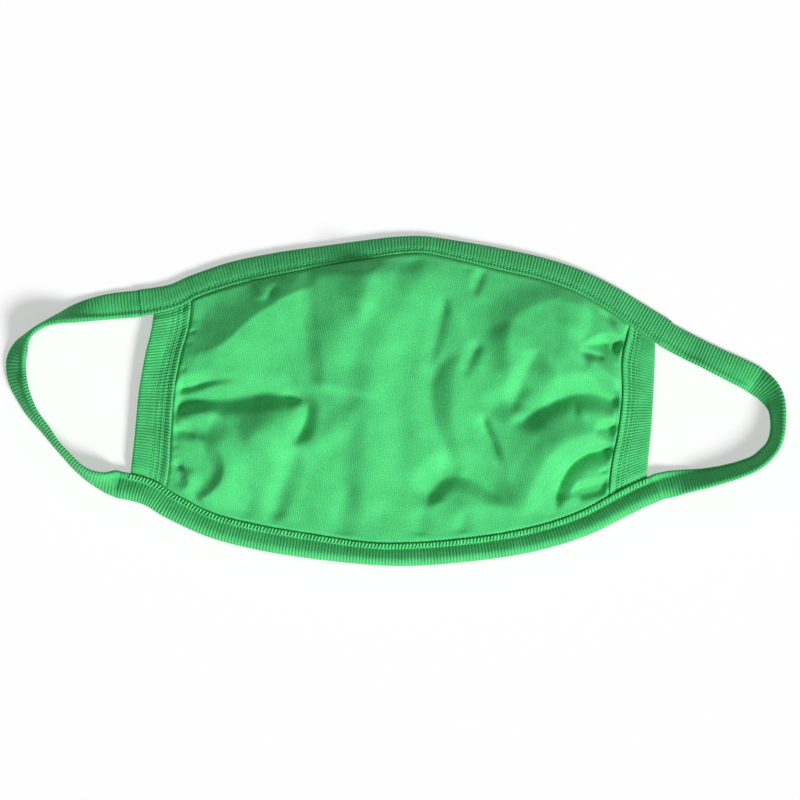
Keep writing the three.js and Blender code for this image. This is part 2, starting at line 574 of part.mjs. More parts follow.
const allFolds = [
  ...folds,
  ...leftGathers.map((row) => gather(row, leftBandRows, 1)),
  ...rightGathers.map((row) => gather(row, rightBandRows, -1)),
].map((fold) => ({ ...fold, line: foldLine(fold.path) }));

const swellHeight = ({ x, y, wide, deep, height }, atX, atY) => (
  height * Math.exp(-(((atX - x) / wide) ** 2) - ((atY - y) / deep) ** 2)
);

function relief(x, y) {
  const raised = swells.reduce((sum, swell) => sum + swellHeight(swell, x, y), 0);
  return allFolds.reduce((sum, fold) => sum + foldHeight(fold, x, y), raised);
}

const rampUp = (distance, length) => 1 - Math.exp(-((Math.max(0, distance - seamInset) / length) ** 1.5));
const resting = (z) => (
  restingHeight + restingSoftness * Math.log1p(Math.exp((z - restingHeight) / restingSoftness))
);

// The body in plan: a patch between the inner edges of the two bindings and the two side bands.
const corners = {
  bottomLeft: bandPlace(leftBandRows, 0, 0),
  bottomRight: bandPlace(rightBandRows, 0, 0),
  topLeft: bandPlace(leftBandRows, 0, 1),
  topRight: bandPlace(rightBandRows, 0, 1),
};
function bodyPlan(u, v) {
  const bottom = seamAt(bottomStations, mix(corners.bottomLeft[0], corners.bottomRight[0], u));
  const top = seamAt(topStations, mix(corners.topLeft[0], corners.topRight[0], u));
  const left = bandPlace(leftBandRows, 0, v);
  const right = bandPlace(rightBandRows, 0, v);
  const between = (axis, low, high) => mix(low, high, v) + mix(left[axis], right[axis], u)
    - mix(mix(corners.bottomLeft[axis], corners.bottomRight[axis], u),
      mix(corners.topLeft[axis], corners.topRight[axis], u), v);
  const [x, y] = [between(0, bottom.x, top.x), between(1, bottom.y, top.y)];
  return { x, y, bottom, top, left: left[0], right: right[0] };
}

// A point half-way through the body's cloth. A shift of a row or column moves an edge in from its
// seam (+) or into the fold that holds it (-).
function bodyPoint(column, row) {
  const place = bodyPlan(column.u, row.v);
  const seam = row.v < 0.5 ? place.bottom : place.top;
  let [x, y] = shifted([place.x, place.y], seam.out, -row.shift);
  x += column.shift * (column.u < 0.5 ? 1 : -1);
  const edgeLift = mix(place.bottom.lift, place.top.lift, row.v) + (row.shift * seam.lift) / seam.width;
  const lengthwise = (4 * column.u * (1 - column.u)) ** archPowers.sides;
  const lower = smooth(2 * row.v) ** archPowers.lower;
  const upper = (4 * row.v * (1 - row.v)) ** archPowers.upper;
  const arch = lengthwise * (row.v < 0.5 ? lower : upper);
  const ramps = rampUp(place.top.y - y, bindingRamp) * rampUp(y - place.bottom.y, bindingRamp)
    * rampUp(x - place.left, bandRamp) * rampUp(place.right - x, bandRamp);
  const free = slotMiddle + edgeLift + domeHeight * arch + (seamPuff + relief(x, y)) * ramps;
  return new THREE.Vector3(x, y, ramps > 0 ? resting(free) : free);
}

// Stops across the body: evenly spaced between the seams, with a flat strip and a tuck at each seam.
function bodyStops(count, name) {
  const inner = Array.from({ length: count - 1 }, (_, k) => ({ [name]: (k + 1) / count, shift: 0 }));
  return [
    { [name]: 0, shift: -tuckDepth }, { [name]: 0, shift: seamInset }, ...inner,
    { [name]: 1, shift: seamInset }, { [name]: 1, shift: -tuckDepth },
  ];
}

function bodyGeometry() {
  const columns = bodyStops(bodyColumns, 'u');
  const rows = bodyStops(bodyRows, 'v');
  const middle = columns.map((column) => rows.map((row) => bodyPoint(column, row)));
  const isTuck = (stops, k) => k === 0 || k === stops.length - 2;
  const isClear = (stops, name, k, share) => stops[k][name] > share && stops[k + 1][name] < 1 - share;
  const kept = (i, j) => {
    if (i < 0 || j < 0 || i > columns.length - 2 || j > rows.length - 2) return false;
    if (isTuck(columns, i)) return isClear(rows, 'v', j, cornerShare.v);
    if (isTuck(rows, j)) return isClear(columns, 'u', i, cornerShare.u);
    return true;
  };
  const points = [];
  const numbers = new Map();
  const vertex = (i, j, face) => {
    const key = `${i} ${j} ${face}`;
    if (!numbers.has(key)) {
      numbers.set(key, points.length);
      const { x, y, z } = middle[i][j];
      points.push(new THREE.Vector3(x, y, z + (face * clothThickness) / 2));
    }
    return numbers.get(key);
  };
  const triangles = [];
  const quad = (a, b, c, d) => triangles.push([a, b, c], [a, c, d]);
  for (let i = 0; i < columns.length - 1; i += 1) {
    for (let j = 0; j < rows.length - 1; j += 1) {
      if (!kept(i, j)) continue;
      const ring = [[i, j], [i + 1, j], [i + 1, j + 1], [i, j + 1]];
      quad(...ring.map(([a, b]) => vertex(a, b, 1)));
      quad(...ring.map(([a, b]) => vertex(a, b, -1)).reverse());
      const beyond = [[i, j - 1], [i + 1, j], [i, j + 1], [i - 1, j]];
      beyond.forEach(([a, b], edge) => {
        if (kept(a, b)) return;
        const [from, to] = [ring[edge], ring[(edge + 1) % 4]];
        quad(vertex(...from, 1), vertex(...from, -1), vertex(...to, -1), vertex(...to, 1));
      });
    }
  }
  return solidGeometry(points, triangles);
}

// An ear loop, from the end of the top binding round to the end of the bottom binding.
function loopGeometry(rows, topEnd, bottomEnd, away) {
  const flatRow = (station, distance, thickness) => {
    const middle = shifted(station.inner, station.out, station.width / 2);
    const alongStrap = [Math.abs(station.out[1]) * away, -Math.sign(station.out[1]) * station.out[0] * away];
    const [x, y] = shifted(middle, alongStrap, distance);
    return { x, y, roll: 0, width: station.width, thickness };
  };
  const route = [
    flatRow(topEnd, clearance, cornerStrapThickness), flatRow(topEnd, 3, cornerStrapThickness),
    ...rows.map((row) => ({ ...row, thickness: strapThickness })),
    flatRow(bottomEnd, 3, cornerStrapThickness), flatRow(bottomEnd, clearance, cornerStrapThickness),
  ];
  const rings = Array.from({ length: loopSteps + 1 }, (_, step) => {
    const t = step / loopSteps;
    const { x, y, roll, width, thickness } = readRows(route, t);
    const before = readRows(route, Math.max(0, t - 0.004));
    const after = readRows(route, Math.min(1, t + 0.004));
    const [dx, dy] = towards([before.x, before.y], [after.x, after.y]);
    const out = new THREE.Vector3(-dy * away, dx * away, 0);
    const up = new THREE.Vector3(0, 0, 1);
    const tilt = THREE.MathUtils.degToRad(roll);
    const acrossAxis = out.clone().multiplyScalar(Math.cos(tilt)).addScaledVector(up, -Math.sin(tilt));
    const upAxis = up.clone().multiplyScalar(Math.cos(tilt)).addScaledVector(out, Math.sin(tilt));
    const ring = strapSection.map((corner) => new THREE.Vector3(x, y, 0)
      .addScaledVector(acrossAxis, (corner.across * width) / 2)
      .addScaledVector(upAxis, (corner.up * thickness) / 2));
    const lowest = Math.min(...ring.map((point) => point.z));
    return ring.map((point) => point.setZ(point.z - lowest));
  });
  const outline = strapSection.map(({ across, up }) => (
    new THREE.Vector2(across * strapWidth, up * strapThickness)
  ));
  return loft(rings, outline);
}

function cloth(name, geometry, color) {
  const dyed = new THREE.MeshStandardMaterial({ color, roughness: 0.95, metalness: 0 });
  const mesh = new THREE.Mesh(geometry, dyed);
  mesh.name = name;
  return mesh;
}

const jerseyGreen = 0x51d27d;
const ribGreen = 0x41b46c;
const bindingGreen = 0x2f9a58;

const [topLeftEnd, topRightEnd] = [topStations[0], topStations.at(-1)];
const [bottomLeftEnd, bottomRightEnd] = [bottomStations[0], bottomStations.at(-1)];
const mask = new THREE.Group();
mask.add(
  cloth('body_panel', bodyGeometry(), jerseyGreen),
  cloth('side_band_left', bandGeometry(leftBandRows), ribGreen),
  cloth('side_band_right', bandGeometry(rightBandRows), ribGreen),
  cloth('top_binding', bindingGeometry(topStations, flatSection), bindingGreen),
  cloth('bottom_binding', bindingGeometry(bottomStations, rolledSection), bindingGreen),
  cloth('ear_loop_left', loopGeometry(leftLoopRows, topLeftEnd, bottomLeftEnd, -1), bindingGreen),
  cloth('ear_loop_right', loopGeometry(rightLoopRows, topRightEnd, bottomRightEnd, 1), bindingGreen),
);

export default mask;
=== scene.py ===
import bpy
import numpy as np
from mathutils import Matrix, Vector, noise


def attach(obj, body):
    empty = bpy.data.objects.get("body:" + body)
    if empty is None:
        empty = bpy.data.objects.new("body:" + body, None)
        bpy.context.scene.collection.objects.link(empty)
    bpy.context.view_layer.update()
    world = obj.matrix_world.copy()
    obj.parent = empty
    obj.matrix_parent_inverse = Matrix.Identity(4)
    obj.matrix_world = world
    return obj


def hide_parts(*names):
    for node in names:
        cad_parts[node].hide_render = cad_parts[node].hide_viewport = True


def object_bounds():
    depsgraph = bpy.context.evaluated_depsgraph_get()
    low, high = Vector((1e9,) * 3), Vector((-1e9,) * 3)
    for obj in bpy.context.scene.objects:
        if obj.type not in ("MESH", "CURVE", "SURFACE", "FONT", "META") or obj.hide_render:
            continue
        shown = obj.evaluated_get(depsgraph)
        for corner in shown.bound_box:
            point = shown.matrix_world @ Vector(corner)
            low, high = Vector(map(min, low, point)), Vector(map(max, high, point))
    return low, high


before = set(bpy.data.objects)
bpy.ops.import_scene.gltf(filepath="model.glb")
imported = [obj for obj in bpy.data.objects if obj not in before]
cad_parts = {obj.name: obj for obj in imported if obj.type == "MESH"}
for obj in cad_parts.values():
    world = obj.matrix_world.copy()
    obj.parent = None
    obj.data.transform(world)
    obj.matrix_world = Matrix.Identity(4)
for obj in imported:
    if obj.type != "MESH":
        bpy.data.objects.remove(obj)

cad_low, cad_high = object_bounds()

# ---------------------------------------------------------------------------------------------------
# Table, lamp and camera. The mask lies flat on a pale table top that gives some light of its own, as a
# light box does. A broad soft lamp stands beyond the mask's lower right corner, and pale surroundings
# fill the shade. The camera hangs above.
camera_height = 1.2
view_width = 0.320
view_offset = Vector((0.0020, 0.0004, 0.0))
view_plane = 0.003
lamp_direction = Vector((0.56, -0.58, 0.56))
lamp_strength = 4.4
lamp_spread = 0.30
surroundings_strength = 0.28
table_size = 6.0
table_gap = 0.00005
table_grey = (0.5, 0.5, 0.5, 1.0)
table_glow = 0.45
white = (1.0, 1.0, 1.0, 1.0)

middle = (cad_low + cad_high) / 2
camera = bpy.data.objects.new("camera", bpy.data.cameras.new("camera"))
camera.data.sensor_width = 36.0
camera.data.lens = camera.data.sensor_width * camera_height / view_width
camera.data.clip_end = 10.0
camera.location = Vector((middle.x, middle.y, cad_low.z + view_plane + camera_height)) + view_offset
bpy.context.collection.objects.link(camera)
bpy.context.scene.camera = camera

lamp = bpy.data.objects.new("lamp", bpy.data.lights.new("lamp", "SUN"))
lamp.data.energy = lamp_strength
lamp.data.angle = lamp_spread
lamp.rotation_euler = lamp_direction.to_track_quat("Z", "Y").to_euler()
bpy.context.collection.objects.link(lamp)

surroundings = bpy.data.worlds.new("surroundings")
surroundings.use_nodes = True
bpy.context.scene.world = surroundings
bpy.context.scene.view_settings.view_transform = "Standard"


def plug(node, values):
    """Fills a node's inputs by name or number: a socket is linked to them, any other value is put in."""
    for label, value in values.items():
        if isinstance(value, bpy.types.NodeSocket):
            node.id_data.links.new(value, node.inputs[label])
        else:
            node.inputs[label].default_value = value


plug(surroundings.node_tree.nodes["Background"], {"Color": white, "Strength": surroundings_strength})
half = table_size / 2
table_height = cad_low.z - table_gap
table_mesh = bpy.data.meshes.new("table")
table_mesh.from_pydata(
    [(x, y, table_height) for x, y in ((-half, -half), (half, -half), (half, half), (-half, half))],
    [], [(0, 1, 2, 3)],
)
table_paint = bpy.data.materials.new("pale table")
table_paint.use_nodes = True
plug(table_paint.node_tree.nodes["Principled BSDF"], {
    "Base Color": table_grey, "Emission Color": white, "Emission Strength": table_glow,
    "Roughness": 0.9, "Specular IOR Level": 0.1,
})
table_mesh.materials.append(table_paint)
table_top = bpy.data.objects.new("table_top", table_mesh)
bpy.context.collection.objects.link(table_top)

# ---------------------------------------------------------------------------------------------------
# Body panel: two plies of fine cotton jersey, knitted with its wales running up the face. It is cut
# larger than the mask and gathered into the side bands, so it stands up in soft folds and puckers.
# From here on sizes are in millimetres, and MM turns them into the scene's metres.
MM = 0.001


def rows(names, *lines):
    """The columns of a table by name, each as an array."""
    return dict(zip(names.split(), np.array(lines, float).T))


def read_rows(table, t):
    """Every column of a table, read smoothly at t from 0, the first row, to 1, the last."""
    count = len(next(iter(table.values())))
    place = np.clip(np.asarray(t, float), 0, 1) * (count - 1)
    first = np.minimum(place.astype(int), count - 2)
    f = place - first
    found = {}
    for name, column in table.items():
        a, b, c, d = (column[np.clip(first + step, 0, count - 1)] for step in (-1, 0, 1, 2))
        curve = (2 * a - 5 * b + 4 * c - d) * f**2 + (3 * b - a - 3 * c + d) * f**3
        found[name] = b + 0.5 * ((c - a) * f + curve)
    return found


# Outer edge of each binding from left to right, its width in plan and the lift of its inner edge.
top_edge = rows(
    "x y width lift",
    (-103, 44.6, 10.9, 1.9), (-91, 46.5, 10.2, 1.9), (-82, 50.3, 9.4, 2.0), (-66, 55.7, 9.6, 2.6),
    (-48, 59.4, 9.2, 3.0), (-30, 62.0, 8.2, 3.0), (-13, 64.3, 7.9, 2.9), (0, 65.8, 7.3, 2.8),
    (12, 66.0, 7.0, 2.8), (26, 64.0, 7.7, 3.0), (42, 61.2, 8.8, 3.2), (60, 57.2, 9.0, 3.3),
    (76, 51.8, 9.2, 3.4), (90, 44.7, 9.9, 3.8), (99, 39.1, 10.5, 4.1), (111, 31.8, 11.2, 4.4),
)
bottom_edge = rows(
    "x y width lift",
    (-109.5, -39.5, 10.9, 0), (-104.5, -40.6, 10.9, 0), (-99.5, -42.4, 10.7, 0), (-92, -47, 10.4, 0.1),
    (-75, -54.7, 9.9, 0.3), (-56, -59.7, 10.1, 0.5), (-35, -63.2, 10, 0.7), (-12, -65.7, 9.1, 0.8),
    (5, -66.3, 9.4, 0.8), (24, -65.1, 9.5, 0.7), (45, -62.5, 9.7, 0.6), (62, -58.9, 9.9, 0.4),
    (78, -53.6, 10.2, 0.2), (93, -46.2, 10.7, 0.1), (100, -42.7, 10.8, 0), (106, -40.2, 10.9, 0),
)

# Side bands from bottom to top: x of the seam with the body and x of the folded outer edge.
left_band_edges = rows(
    "y inner outer",
    (-37, -92.8, -107.2), (-27, -90.6, -105.9), (-13, -89.7, -104.4), (4, -88.4, -102.7),
    (18, -85.8, -100.2), (30, -82.6, -97.4), (42, -81.4, -96.2),
)
right_band_edges = rows(
    "y inner outer",
    (-36, 85.4, 100.4), (-26, 86.3, 101.0), (-12, 89.0, 102.3), (2, 90.6, 103.1),
    (16, 90.4, 103.6), (26, 92.4, 103.8), (36, 94.4, 103.8),
)


def heading(table, t, step):
    """The direction in plan in which a table's line runs at t."""
    before, after = (read_rows(table, t + way * step) for way in (-1, 1))
    ahead = np.stack([after[axis] - before[axis] for axis in "xy"], 1)
    return ahead / np.linalg.norm(ahead, axis=1, keepdims=True)


def binding_stations(edge, inward_turn, count):
    """Stations along a binding: its inner edge, the direction outwards from it, its width and lift."""
    t = np.linspace(0, 1, count)
    at = read_rows(edge, t)
    ahead = heading(edge, t, 0.01)
    out = np.stack([inward_turn * ahead[:, 1], -inward_turn * ahead[:, 0]], 1)
    inner = np.stack([at["x"], at["y"]], 1) - out * at["width"][:, None]
    return {
        "x": inner[:, 0], "y": inner[:, 1], "out_x": out[:, 0], "out_y": out[:, 1],
        "width": at["width"], "lift": np.maximum(0, at["lift"]),
    }


seam_detail = 400
top_seam = binding_stations(top_edge, -1, seam_detail)
bottom_seam = binding_stations(bottom_edge, 1, seam_detail)


def seam_at(seam, x):
    """A binding's inner edge at a given x."""
    return {name: np.interp(x, seam["x"], column) for name, column in seam.items()}


def band_x(edges, side, y):
    """x of a side band's inner or outer edge at a given y."""
    fine = read_rows(edges, np.linspace(0, 1, seam_detail // 2))
    return np.interp(y, fine["y"], fine[side])


def corner(edges, side, seam, rounds=12):
    """Where a side band's edge meets a binding's inner edge, found in rounds from one to the other."""
    x = edges[side][0]
    for _ in range(rounds):
        y = seam_at(seam, x)["y"]
        x = band_x(edges, side, y)
    return float(x), float(y)


body_corners = {
    (end, level): corner(edges, "inner", seam)
    for end, edges in enumerate((left_band_edges, right_band_edges))
    for level, seam in enumerate((bottom_seam, top_seam))
}


def body_plan(u, v):
    """The body seen from above: a patch stretched between its four seams."""
    low, high = (
        (body_corners[0, end][0] * (1 - u) + body_corners[1, end][0] * u) for end in (0, 1)
    )
    bottom, top = seam_at(bottom_seam, low), seam_at(top_seam, high)
    place = []
    for axis, name in enumerate("xy"):
        left_y, right_y = (
            (body_corners[end, 0][1] * (1 - v) + body_corners[end, 1][1] * v) for end in (0, 1)
        )
        left = band_x(left_band_edges, "inner", left_y) if name == "x" else left_y
        right = band_x(right_band_edges, "inner", right_y) if name == "x" else right_y
        flat = sum(
            body_corners[i, j][axis] * (u if i else 1 - u) * (v if j else 1 - v)
            for i in (0, 1) for j in (0, 1)
        )
        place.append(bottom[name] * (1 - v) + top[name] * v + left * (1 - u) + right * u - flat)
    return place[0], place[1], bottom, top


# Folds, listed one by one. Height is above (+) or below (-) the smooth surface along the path. Left and
# right are its two flanks: how far each reaches, and how sharply it starts, from 0, a round crest, to 1,
# a crease. The fades are the lengths over which the two ends of the fold die away, and there it also
# narrows to a share of its width.
fold_end_width = 0.3
fold_steps = 10


def fold(height, left, right, fades, path):
    return {"height": height, "left": left, "right": right, "fades": fades, "path": rows("x y", *path)}


folds = {
    "upper left ridge": fold(4.8, (18, 0.85), (22, 0.6), (24, 12), [
        (-87, 17.6), (-76, 19.2), (-68, 23), (-61.6, 28.8), (-56.4, 33.6), (-50.2, 37.4), (-45.2, 40.6),
        (-38, 44), (-30, 46.4)]),
    "upper left notch": fold(1.3, (4, 0.5), (4, 0.5), (2, 3), [(-55.6, 48), (-53.6, 43.6), (-52.4, 39.2)]),
    "upper left dimple": fold(-1.3, (3, 0.5), (3, 0.5), (2, 3), [(-47, 47), (-48.8, 43.6), (-50.8, 40.4)]),
    "centre left ridge": fold(2.6, (16, 0.3), (12, 0.5), (10, 12), [
        (-4.8, 57), (-9.6, 49.6), (-11.6, 42), (-13.6, 36), (-18.4, 31)]),
    "centre left slope": fold(2.6, (34, 0.1), (6.5, 0.4), (12, 3), [
        (-31, 62), (-31, 48), (-31, 36), (-30.4, 26), (-29, 18), (-28.4, 10), (-29.4, 3.6)]),
    "centre left shoulder": fold(3.6, (26, 0.1), (18, 0.1), (12, 18), [
        (-12, 62), (-12.4, 50), (-13.6, 42), (-17, 34), (-21, 26), (-24.4, 18), (-27, 11)]),
    "left crease": fold(-3.8, (6, 0.3), (3, 0.8), (0.3, 22), [
        (-91, 3.2), (-84, 4.6), (-78, 6.4), (-72.8, 7.8), (-66, 8.2), (-58, 7.8)]),
    "left crease's mouth": fold(-2.4, (3, 0.4), (2.4, 0.8), (0.3, 6), [
        (-93, 4.4), (-87, 4.8), (-81, 5.8)]),
    "left main valley": fold(-4.4, (10, 0.3), (6.5, 0.6), (0.3, 10), [
        (-91, -5.6), (-86.8, -3.2), (-81.2, -0.8), (-74, 0), (-66, -0.2), (-58, 0.6), (-50.8, 1.8),
        (-44, 1.6), (-38, 1), (-33.6, -0.4)]),
    "left wedge": fold(2.4, (12, 0.4), (16, 0.1), (5, 9), [
        (-60.4, -18.4), (-53.6, -11.6), (-45, -6.6), (-37, -5)]),
    "left main ridge": fold(1.8, (4, 0.3), (7, 0.3), (2, 6), [
        (-89.2, -6.4), (-82, -4.8), (-74.8, -4.4), (-69.2, -5.6)]),
    "left hook": fold(-4, (5.6, 0.5), (5, 0.5), (12, 8), [
        (-48, 1.6), (-42.4, 1.6), (-37.6, 0.8), (-35.4, -1.6), (-35.4, -5.6), (-36.8, -10.4),
        (-39.6, -14.8), (-43.4, -19)]),
    "left pocket's top": fold(-2.8, (4, 0.3), (5, 0.6), (0.3, 9), [
        (-91, -11.8), (-84, -12), (-78.8, -13.4), (-75.4, -16.2)]),
    "left pocket's rim": fold(3.2, (12, 0.2), (5.6, 0.75), (9, 3), [
        (-79, -15), (-74, -17), (-70.2, -20.6), (-68.2, -25.4), (-69, -31), (-73.2, -36.4), (-79.6, -41)]),
    "left corner's top": fold(-1.8, (3, 0.4), (3.4, 0.7), (0.3, 3), [
        (-91, -25.4), (-87, -25.8), (-84.4, -28)]),
    "left corner's rim": fold(2.6, (6, 0.3), (5, 0.6), (6, 0.5), [
        (-86, -26.6), (-82.6, -30.8), (-83.6, -35), (-90, -38.6)]),
    "soft ridge": fold(1.3, (8, 0.1), (7, 0.1), (8, 10), [
        (-36.8, -19.6), (-30, -16), (-24, -11.2), (-18, -5.2), (-13.2, 0)]),
    "soft valley": fold(-2, (7, 0.1), (7, 0.1), (8, 8), [
        (-50.6, -50), (-47.6, -41), (-44.4, -32), (-41.4, -24), (-38, -17)]),
    "centre ridge": fold(2.4, (15, 0.1), (10, 0.1), (12, 14), [
        (14, 60), (12.4, 53), (9.6, 47.6), (5.6, 42), (1, 34.4), (-4, 25), (-8.4, 14.4), (-10.8, 4),
        (-11.6, -8), (-11.4, -23.6), (-11.6, -39.6), (-12, -50)]),
    "centre streak": fold(-1.6, (3.6, 0.4), (6, 0.3), (9, 5), [
        (20.4, 44), (18.8, 35), (17, 27), (14.8, 19), (13.4, 13)]),
    "streak's ridge": fold(1.4, (6, 0.2), (5, 0.2), (14, 20), [
        (19, 46), (21, 40), (23.6, 34), (27, 27), (30.4, 20)]),
    "centre crease": fold(-2.5, (6, 0.6), (8, 0.3), (12, 6), [
        (22.8, 18.8), (17.6, 14), (14.8, 8), (14.4, 1.2), (15.6, -6.8), (18.4, -14.8), (21.2, -21.6),
        (23.2, -28), (24, -32)]),
    "crease's ridge": fold(1.3, (12, 0.2), (5, 0.4), (6, 10), [
        (27.2, 19.6), (24, 12.4), (22.4, 2.4), (23.2, -7.6), (26, -15.6)]),
    "short crease": fold(-1.7, (3.2, 0.6), (5, 0.4), (4, 5), [
        (34.4, 24.4), (31.2, 19.4), (28.8, 14.4), (27.2, 8)]),
    "short crease's ridge": fold(0.8, (6, 0.3), (3, 0.3), (5, 6), [(35.6, 22.4), (34, 16.4), (32.4, 9.2)]),
    "top notch": fold(-1.7, (2.6, 0.6), (4, 0.4), (1, 5), [
        (36, 54), (33.8, 49), (32.2, 44.6), (31.4, 40)]),
    "top pucker": fold(-1.2, (2.5, 0.5), (2.5, 0.5), (1, 3), [(26.8, 57.2), (28.4, 54), (30.8, 50.8)]),
    "right plateau": fold(3.4, (50, 0), (12, 0.5), (16, 10), [
        (80, 43), (66, 41), (58, 39), (50.8, 35.6), (46.4, 31.2), (45, 25.4), (45.2, 16.4), (44, 6.4),
        (43.4, 3.6)]),
    "plateau's shoulder": fold(1.8, (12, 0.2), (9, 0.4), (8, 10), [(45.4, 33), (44.4, 24), (43.8, 14)]),
    "right ridge": fold(1.8, (5, 0.4), (12, 0.1), (6, 8), [(75, 44), (74, 34), (72, 22)]),
    "right diagonal": fold(-3.4, (12, 0.2), (6, 0.3), (6, 6), [
        (57.6, 20.8), (53.6, 15), (50.6, 8.4), (48.4, 1.4), (46.6, -6)]),
    "upper right dip": fold(-3.4, (10, 0.4), (4, 0.2), (1, 8), [(81.6, 46), (84, 37.4), (87, 28)]),
    "right crease": fold(-5.4, (4, 0.2), (11, 0.6), (12, 0.3), [
        (72, 20.4), (78, 22.2), (84, 23.2), (88, 22.6), (92, 21.6)]),
    "right crease's tip": fold(-1.8, (1.6, 0.5), (3, 0.6), (2, 3), [(72.6, 19.8), (78, 18.8), (84, 16.8)]),
    "right crease's edge": fold(2, (4, 0.6), (7, 0.2), (5, 0.3), [
        (75, 18), (82, 12.8), (87, 9.2), (92, 6.2)]),
    "right crease's tail": fold(-1.8, (2.4, 0.5), (2.4, 0.6), (1, 0.3), [
        (86.4, 19.4), (88.8, 22.4), (93, 26.4)]),
    "right main valley": fold(-5, (9, 0.5), (9, 0.8), (13, 0.3), [
        (44, -10.4), (52, -7.4), (60, -2.8), (65.2, 0.2), (70.8, 2.4), (76.4, 3), (81.2, 2.2), (86, 0.4),
        (92, -1)]),
    "right main ridge": fold(1.8, (6, 0.3), (7, 0.2), (4, 1), [
        (70.8, -6.4), (76, -5), (82, -5.2), (88, -6.4)]),
    "right small crease": fold(-5, (3.4, 0.5), (8, 0.7), (3, 0.3), [
        (79, -12.4), (83, -10.8), (87.2, -10.4), (92, -10.6)]),
    "lower right ridge": fold(2.2, (8, 0.3), (9, 0.2), (5, 7), [
        (86, -13.6), (78, -13), (69, -16), (61, -22), (56, -30.6), (52.4, -38.8), (50, -46.8)]),
    "right pocket": fold(-5.6, (8, 0.85), (3.6, 0.3), (2.5, 10), [
        (90, -20.2), (82.6, -19.8), (76.2, -21.4), (70.4, -25.4), (66.2, -32), (64.2, -39),
        (65.4, -45.4)]),
    "lower right crease": fold(-7, (4, 0.4), (6, 0.7), (4, 0.3), [(70, -36.6), (80, -34.6), (90, -32.6)]),
    "diamond crease": fold(-4, (3, 0.6), (4, 0.4), (3, 13), [
        (34.2, -5.2), (36, -11.6), (38.8, -17.6), (41.8, -23.6), (44, -28)]),
    "diamond's top": fold(-1.6, (7, 0.2), (8, 0.4), (3, 7), [
        (36.4, -5.2), (42, -0.4), (48, 3.6), (52, 8.4)]),
    "lower arc": fold(-4.8, (12, 0), (6.6, 0.65), (8, 14), [
        (12.4, -43.6), (14.4, -37.6), (17.8, -33), (22.2, -30.4), (28.6, -31), (34.6, -33.8), (40.6, -38),
        (48, -43)]),
    "hem dip one": fold(-0.7, (5, 0.1), (5, 0.1), (7, 1), [(-57.2, -36.4), (-59.6, -42.8), (-61, -48)]),
    "hem dip two": fold(-0.7, (5, 0.1), (5, 0.1), (7, 1), [(-44.8, -38.8), (-47.6, -44.4), (-49, -50)]),
    "hem dip three": fold(-1.3, (8, 0.1), (6, 0.1), (10, 1), [
        (-17.2, -31.6), (-20, -39.6), (-21.6, -47.6), (-22, -54)]),
    "hem dip four": fold(-1, (6, 0.1), (5, 0.1), (5, 1), [(11.6, -41.6), (10, -47.6), (9.2, -54)]),
    "hem dip five": fold(-1, (4, 0.2), (4, 0.2), (5, 1), [(28.4, -42.8), (26.8, -48.4), (26, -53)]),
}


# Broad swells of the puffed-up cloth: centre, half width and half depth in plan, and height.
swells = rows(
    "x y wide deep height",
    (-51, -17, 15, 13, 4.2), (60, -19, 16, 14, 5.0), (70, 14, 18, 15, 3.2), (-58, 22, 18, 12, 1.2),
    (22, -4, 14, 22, 1.2), (28, -43, 9, 5, 1.4),
)


def swell_height(x, y):
    """How far the swells raise the cloth at each place."""
    return sum(
        height * np.exp(-((x - at_x) / wide) ** 2 - ((y - at_y) / deep) ** 2)
        for at_x, at_y, wide, deep, height in zip(*swells.values())
    )


# Short gathers where the bands pinch the sides: how far up the seam each starts, how far in it runs, how
# much it climbs on the way, its depth and its reach on either side.
left_gathers = rows(
    "y length climb depth reach",
    (27.6, 5, 0.4, 1.6, 1.8), (23.2, 4, -0.6, 1.2, 1.6), (12.4, 5, 0.8, 1.6, 1.8),
    (-8.4, 4, 0.4, 1.1, 1.6), (-17.6, 5, -0.6, 1.3, 1.8), (-21.8, 4, 0, 1.2, 1.6),
    (-31, 4, 0.6, 1.2, 1.6),
)
right_gathers = rows(
    "y length climb depth reach",
    (31, 4, 1.2, 1.3, 1.7), (13.2, 4, 0.6, 1.2, 1.6), (5, 5, 0.8, 1.3, 1.7), (-7, 4, 0.4, 1.3, 1.6),
    (-15.6, 4, 0.2, 1.2, 1.6), (-27.6, 6, -1.2, 1.7, 1.9), (-31, 4, -0.4, 1.2, 1.6),
)
for side, edges, gathers, inwards in (
    ("left", left_band_edges, left_gathers, 1), ("right", right_band_edges, right_gathers, -1),
):
    for number, (start_y, length, climb, depth, reach) in enumerate(zip(*gathers.values())):
        start_x = float(band_x(edges, "inner", start_y))
        folds[f"{side} gather {number}"] = fold(-depth, (reach, 0.5), (reach, 0.5), (0.4, 0.8 * length), [
            (start_x, start_y), (start_x + inwards * length / 2, start_y + 0.3 * climb),
            (start_x + inwards * length, start_y + climb)])


def smooth_step(t):
    """Eases from 0 at 0 to 1 at 1."""
    t = np.clip(t, 0, 1)
    return t * t * (3 - 2 * t)


